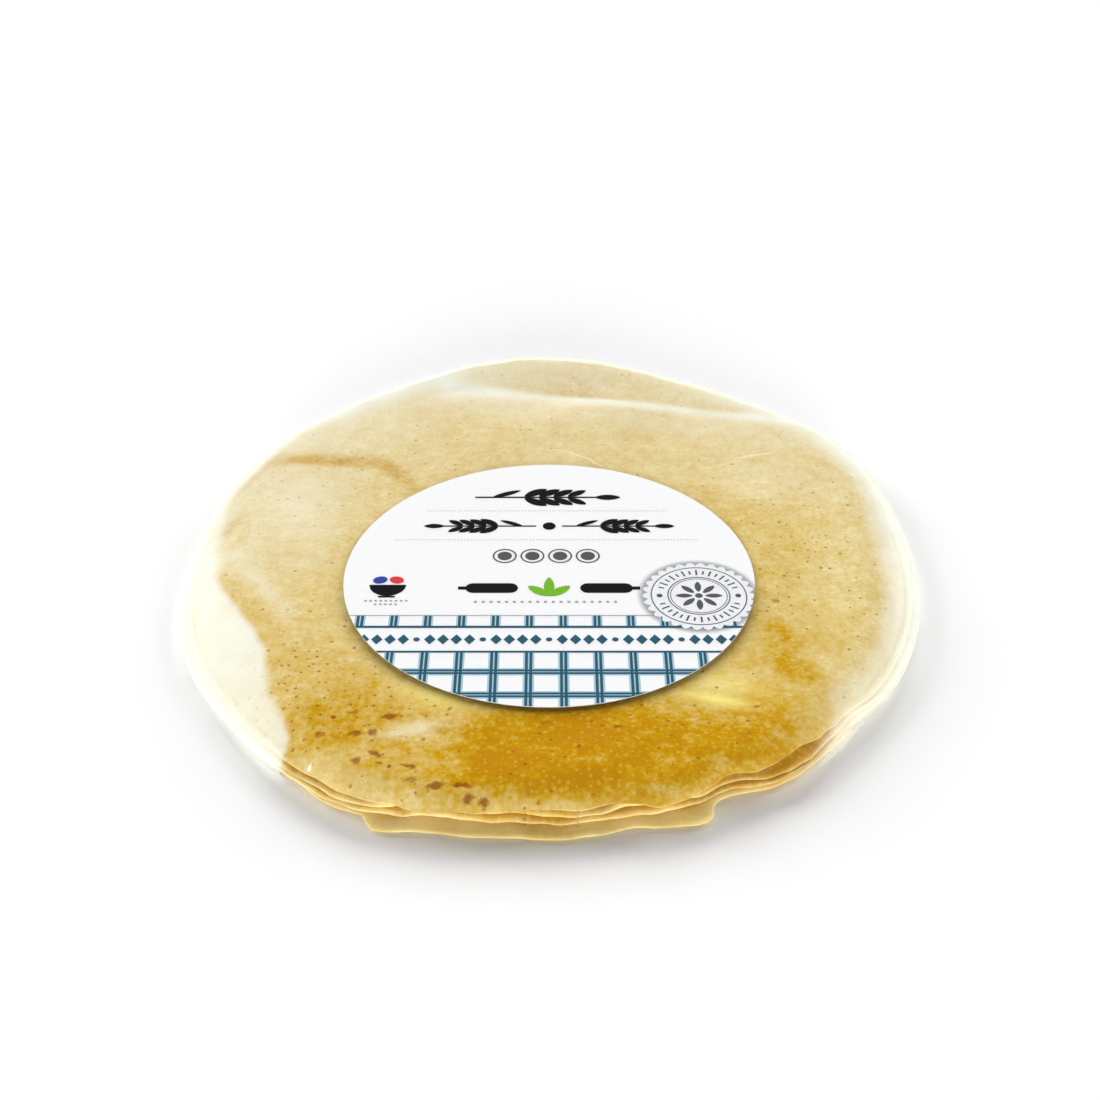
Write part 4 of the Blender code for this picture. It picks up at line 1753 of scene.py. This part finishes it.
@dataclass
class LabelPrint:
    """The label's generic print: wheat ears, four rounds, a rolling pin, a seal and a towel check."""

    seal: tuple[float, float] = (50.3, -12.6)
    seal_radius: float = 19.0
    check_step: float = 11.15
    check_start: float = -6.5
    check_lines: int = 6
    line: float = 0.92
    line_gap: float = 0.48
    shading: float = 0.62
    strip: tuple[float, float] = (-23.6, -29.1)
    lower_top: float = -43.1
    double_lines: tuple[float, ...] = (-52.9, -64.25)
    across: float = 150.0
    band_lines: tuple[tuple[float, float], ...] = ((-29.65, 1.1), (-42.7, 0.9))
    band_y: float = -36.3
    band_step: float = 4.3
    band_half: int = 14
    dotted_lines: tuple[tuple[float, float, float], ...] = ((38.7, -43.7, 42.1), (20.4, -53.9, 52.0))
    dot_step: float = 1.1
    dot_rows: tuple[tuple[float, float, int, float, float], ...] = (
        (-54.6, -15.4, 4, 1.7, 0.5),
        (-54.6, -17.4, 2, 1.7, 0.5),
        (-1.2, -16.0, 9, 2.6, 0.62),
    )
    pin_y: float = -8.2
    count_y: float = 10.6
    count_step: float = 9.6
    eggs_y: float = -3.6
    seal_rings: tuple[tuple[float, float], ...] = ((16.0, 0.40), (10.4, 0.40), (9.5, 0.25))
    dash_reach: float = 13.2
    petals: int = 8

    def draw_check(self) -> None:
        """Draw the towel check and the band between its two parts."""
        tint = InkLayer("print_check_tint", Ink.PALE_BLUE, 0)
        check = InkLayer("print_check", Ink.TEAL, 1)
        pair = self.line_gap / 2.0 + self.line / 2.0
        wide = 2.0 * self.line + self.line_gap + 2.0 * self.shading
        upper_middle = sum(self.strip) / 2.0
        upper_height = self.strip[0] - self.strip[1]
        lower_height = self.lower_top + LABEL_RADIUS / MM
        lower_middle = self.lower_top - lower_height / 2.0
        for index in range(-self.check_lines, self.check_lines + 1):
            x = self.check_start + index * self.check_step
            for middle, height in ((upper_middle, upper_height), (lower_middle, lower_height)):
                tint.bar(x, middle, wide, height)
                check.bar(x - pair, middle, self.line, height)
                check.bar(x + pair, middle, self.line, height)
        for y in self.double_lines:
            tint.bar(0.0, y, self.across, wide)
            check.bar(0.0, y - pair, self.across, self.line)
            check.bar(0.0, y + pair, self.across, self.line)
        for y, width in self.band_lines:
            check.bar(0.0, y, self.across, width)
        for index in range(-self.band_half, self.band_half + 1):
            x = index * self.band_step
            if index % 5 == 0:
                check.disc(x, self.band_y, 1.05, 20)
            else:
                check.disc(x, self.band_y, 2.6, 4, 0.72)
        tint.finish()
        check.finish()

    def draw_lines(self) -> None:
        """Draw the fine grey lines and rows of dots."""
        fine = InkLayer("print_fine_lines", Ink.LIGHT_GREY, 1)
        fine.bar(0.0, -23.5, self.across, 0.35)
        for y, start, end in self.dotted_lines:
            for index in range(int((end - start) / self.dot_step) + 1):
                fine.disc(start + index * self.dot_step, y, 0.24, 6)
        for middle, y, half, step, radius in self.dot_rows:
            for index in range(-half, half + 1):
                fine.disc(middle + index * step, y, radius, 10)
        fine.finish()

    def draw_ears(self) -> None:
        """Draw the wheat ears, the rolling pin and the bowl in black."""
        black = InkLayer("print_ears", Ink.BLACK, 1)
        black.ear(-27.0, 47.6, 53.0, 1.0, 9.4)
        black.ear(-4.6, 29.0, 40.0, -1.0, 7.4)
        black.ear(4.6, 29.0, 40.0, 1.0, 7.4)
        black.disc(0.0, 29.0, 2.3, 24)
        for reach, length, width in ((19.4, 12.4, 5.4), (28.3, 5.0, 1.7)):
            for side in (-1.0, 1.0):
                black.bar(side * reach, self.pin_y, length, width)
        for x in (-13.2, 13.2, -25.6, 25.6):
            black.disc(x, self.pin_y, 2.7, 24)
        black.bowl(-54.6, -6.4, 6.2)
        black.bar(-54.6, -13.1, 5.6, 0.8)
        black.finish()

    def draw_count(self) -> None:
        """Draw four grey rounds, one for each crepe, and the sprig between the pin's halves."""
        count = InkLayer("print_count", Ink.GREY, 1)
        for index in range(4):
            x = (index - 1.5) * self.count_step - 1.0
            count.disc(x, self.count_y, 2.5, 32)
            count.ring(x, self.count_y, 3.9, 0.55)
        count.finish()
        sprig = InkLayer("print_sprig", Ink.GREEN, 2)
        for turn, length in ((90.0, 10.5), (38.0, 9.0), (142.0, 9.0)):
            sprig.leaf(0.0, -12.6, length, 3.6, turn)
        sprig.finish()
        eggs = (("print_blue_egg", Ink.BLUE, -57.4, 20.0), ("print_red_egg", Ink.RED, -51.8, -20.0))
        for name, ink, x, turn in eggs:
            egg = InkLayer(name, ink, 1)
            egg.disc(x, self.eggs_y, 2.0, 32, 1.25, turn)
            egg.finish()

    def around_seal(self, reach: float, turn: float) -> tuple[float, float]:
        """Give the place that lies at a distance and an angle from the seal's middle."""
        side = math.radians(turn)
        return self.seal[0] + reach * math.cos(side), self.seal[1] + reach * math.sin(side)

    def draw_seal(self) -> None:
        """Draw the toothed grey seal with its rings, dashes and rosette."""
        x, y = self.seal
        face = InkLayer("print_seal", Ink.SILVER, 2)
        face.scalloped(x, y, self.seal_radius - 0.9, 30, 1.8)
        face.finish()
        lines = InkLayer("print_seal_lines", Ink.GREY, 3)
        for radius, width in self.seal_rings:
            lines.ring(x, y, radius, width)
        for index in range(36):
            turn = index * 10.0
            if index % 18 == 0:
                lines.disc(*self.around_seal(self.dash_reach, turn), 1.0, 20)
            elif index % 18 not in (1, 17):
                length = 3.0 if index % 2 else 1.9
                lines.bar(*self.around_seal(self.dash_reach, turn), length, 0.62, turn)
        lines.disc(x, y, 1.3, 20)
        for index in range(self.petals):
            turn = index * FULL_TURN / self.petals
            lines.leaf(*self.around_seal(2.1, turn), 5.8, 2.2, turn)
        lines.finish()

    def build(self) -> None:
        """Draw every ink of the label."""
        self.draw_check()
        self.draw_lines()
        self.draw_ears()
        self.draw_count()
        self.draw_seal()

    def dress_paper(self, label: bpy.types.Object) -> None:
        """Give the label's solid its paper.

        Args:
            label: The label's own node.
        """
        x, y = self.seal
        centre = (LABEL_CENTRE[0] + x * MM, LABEL_CENTRE[1] + y * MM, LABEL_TOP)
        label.data.materials.clear()
        label.data.materials.append(PaperFinish(centre, self.seal_radius * MM).make())


@dataclass(frozen=True)
class Lamp:
    """A wide soft lamp, which lights the pack without mirroring in its film.

    Attributes:
        name: The lamp's name.
        strength: Its strength.
        rise: How high it stands, in degrees.
        turn: How far it stands to the left of straight behind the pack, in degrees.
        spread: How wide it is, in degrees.
    """

    name: str
    strength: float
    rise: float
    turn: float
    spread: float

    def build(self) -> None:
        """Add the lamp."""
        deselect_all()
        bpy.ops.object.light_add(type="SUN", location=(0.0, 0.0, 1.0))
        lamp = bpy.context.object
        lamp.name = self.name
        level = math.cos(math.radians(self.rise))
        side = math.radians(self.turn)
        towards = Vector((-math.sin(side) * level, math.cos(side) * level, math.sin(math.radians(self.rise))))
        lamp.rotation_euler = towards.to_track_quat("Z", "Y").to_euler()
        lamp.data.energy = self.strength
        lamp.data.angle = math.radians(self.spread)
        lamp.visible_glossy = False


@dataclass
class Studio:
    """Plain white ground, soft light from above and low behind the pack, and the camera."""

    eye: tuple[float, float, float] = (-0.2 * MM, -487.7 * MM, 354.8 * MM)
    pitch_down: float = 35.07
    focal_pixels: float = 1700.0
    frame_pixels: float = 1100.0
    sensor: float = 36.0
    ground_half: float = 20.0
    ground: Colour = (0.94, 0.94, 0.945, 1.0)
    around_light: float = 0.10
    horizon_light: float = 0.70
    horizon_fall: tuple[float, float] = (0.16, 0.30)
    window_light: float = 0.08
    band_light: float = 0.50
    band_fall: tuple[float, float] = (0.40, 0.52)
    window_end: tuple[float, float] = (0.80, 0.90)
    band_width: tuple[float, float] = (0.30, 0.75)
    lamps: tuple[Lamp, ...] = (
        Lamp("back_key", 1.95, 29.0, 2.0, 26.0),
        Lamp("left_key", 2.30, 22.0, 58.0, 30.0),
        Lamp("right_key", 1.70, 22.0, -58.0, 30.0),
        Lamp("fill", 3.40, 8.0, 180.0, 24.0),
    )

    def build(self) -> None:
        """Set the ground, the light and the camera."""
        self.build_ground()
        self.build_world()
        for lamp in self.lamps:
            lamp.build()
        self.build_camera()
        bpy.context.scene.view_settings.view_transform = "Standard"

    def build_ground(self) -> None:
        """Lay the white ground under the pack."""
        deselect_all()
        bpy.ops.mesh.primitive_plane_add(size=2.0 * self.ground_half, location=(0.0, 0.0, 0.0))
        ground = bpy.context.object
        ground.name = "ground"
        material, wires = new_material("white_ground")
        shader = wires.add("ShaderNodeBsdfDiffuse")
        shader.inputs["Color"].default_value = self.ground
        wires.put_out(shader.outputs[0])
        ground.data.materials.append(material)

    def build_world(self) -> None:
        """Light the scene all round, with a bright horizon and a bright band low behind the pack."""
        world = bpy.data.worlds.new("studio")
        bpy.context.scene.world = world
        world.use_nodes = True
        tree = world.node_tree
        tree.nodes.clear()
        wires = Wiring(tree)
        output = wires.add("ShaderNodeOutputWorld")
        light = wires.add("ShaderNodeBackground")
        ray = wires.add("ShaderNodeTexCoord").outputs["Generated"]
        split = wires.add("ShaderNodeSeparateXYZ")
        wires.link(ray, split.inputs[0])
        up = split.outputs["Z"]
        level = wires.calc("SQRT", wires.calc("SUBTRACT", 1.0, wires.calc("MULTIPLY", up, up)))
        ahead = wires.calc("DIVIDE", split.outputs["Y"], wires.calc("MAXIMUM", level, 0.001))
        behind = wires.span(ahead, *self.band_width)
        band = wires.span(up, *self.band_fall, self.band_light, self.window_light)
        above = wires.span(up, *self.window_end)
        behind = wires.calc("MULTIPLY", behind, wires.calc("SUBTRACT", 1.0, above))
        around = wires.calc("MULTIPLY", wires.calc("SUBTRACT", 1.0, behind), self.around_light)
        strength = wires.calc("MULTIPLY_ADD", band, behind, around)
        horizon = wires.span(up, *self.horizon_fall, self.horizon_light, 0.0)
        strength = wires.calc("ADD", strength, horizon)
        light.inputs["Color"].default_value = (1.0, 1.0, 1.0, 1.0)
        wires.link(strength, light.inputs["Strength"])
        wires.link(light.outputs[0], output.inputs["Surface"])

    def build_camera(self) -> None:
        """Set the camera at the photograph's viewing angle."""
        deselect_all()
        tilt = math.radians(90.0 - self.pitch_down)
        bpy.ops.object.camera_add(location=self.eye, rotation=(tilt, 0.0, 0.0))
        camera = bpy.context.object
        camera.data.sensor_width = self.sensor
        camera.data.lens = self.sensor * self.focal_pixels / self.frame_pixels
        camera.data.clip_start = 0.01
        camera.data.clip_end = 50.0
        bpy.context.scene.camera = camera


def main() -> None:
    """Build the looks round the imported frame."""
    logging.basicConfig(level=logging.INFO, format="%(message)s")
    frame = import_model()
    form = PackForm()
    glare_veil = GlareVeil(form)
    groups = ShaderGroups()
    groups.build()
    label_print = LabelPrint()
    label_print.dress_paper(frame["nodes"][Node.LABEL.value])
    label_print.build()
    film = FilmShell(form, glare_veil)
    film.build()
    film.dress(FilmFinish(groups))
    crepes = Crepes(form, glare_veil)
    crepes.build()
    crepes.dress(BatterFinish(groups))
    Studio().build()


if __name__ == "__main__":
    main()
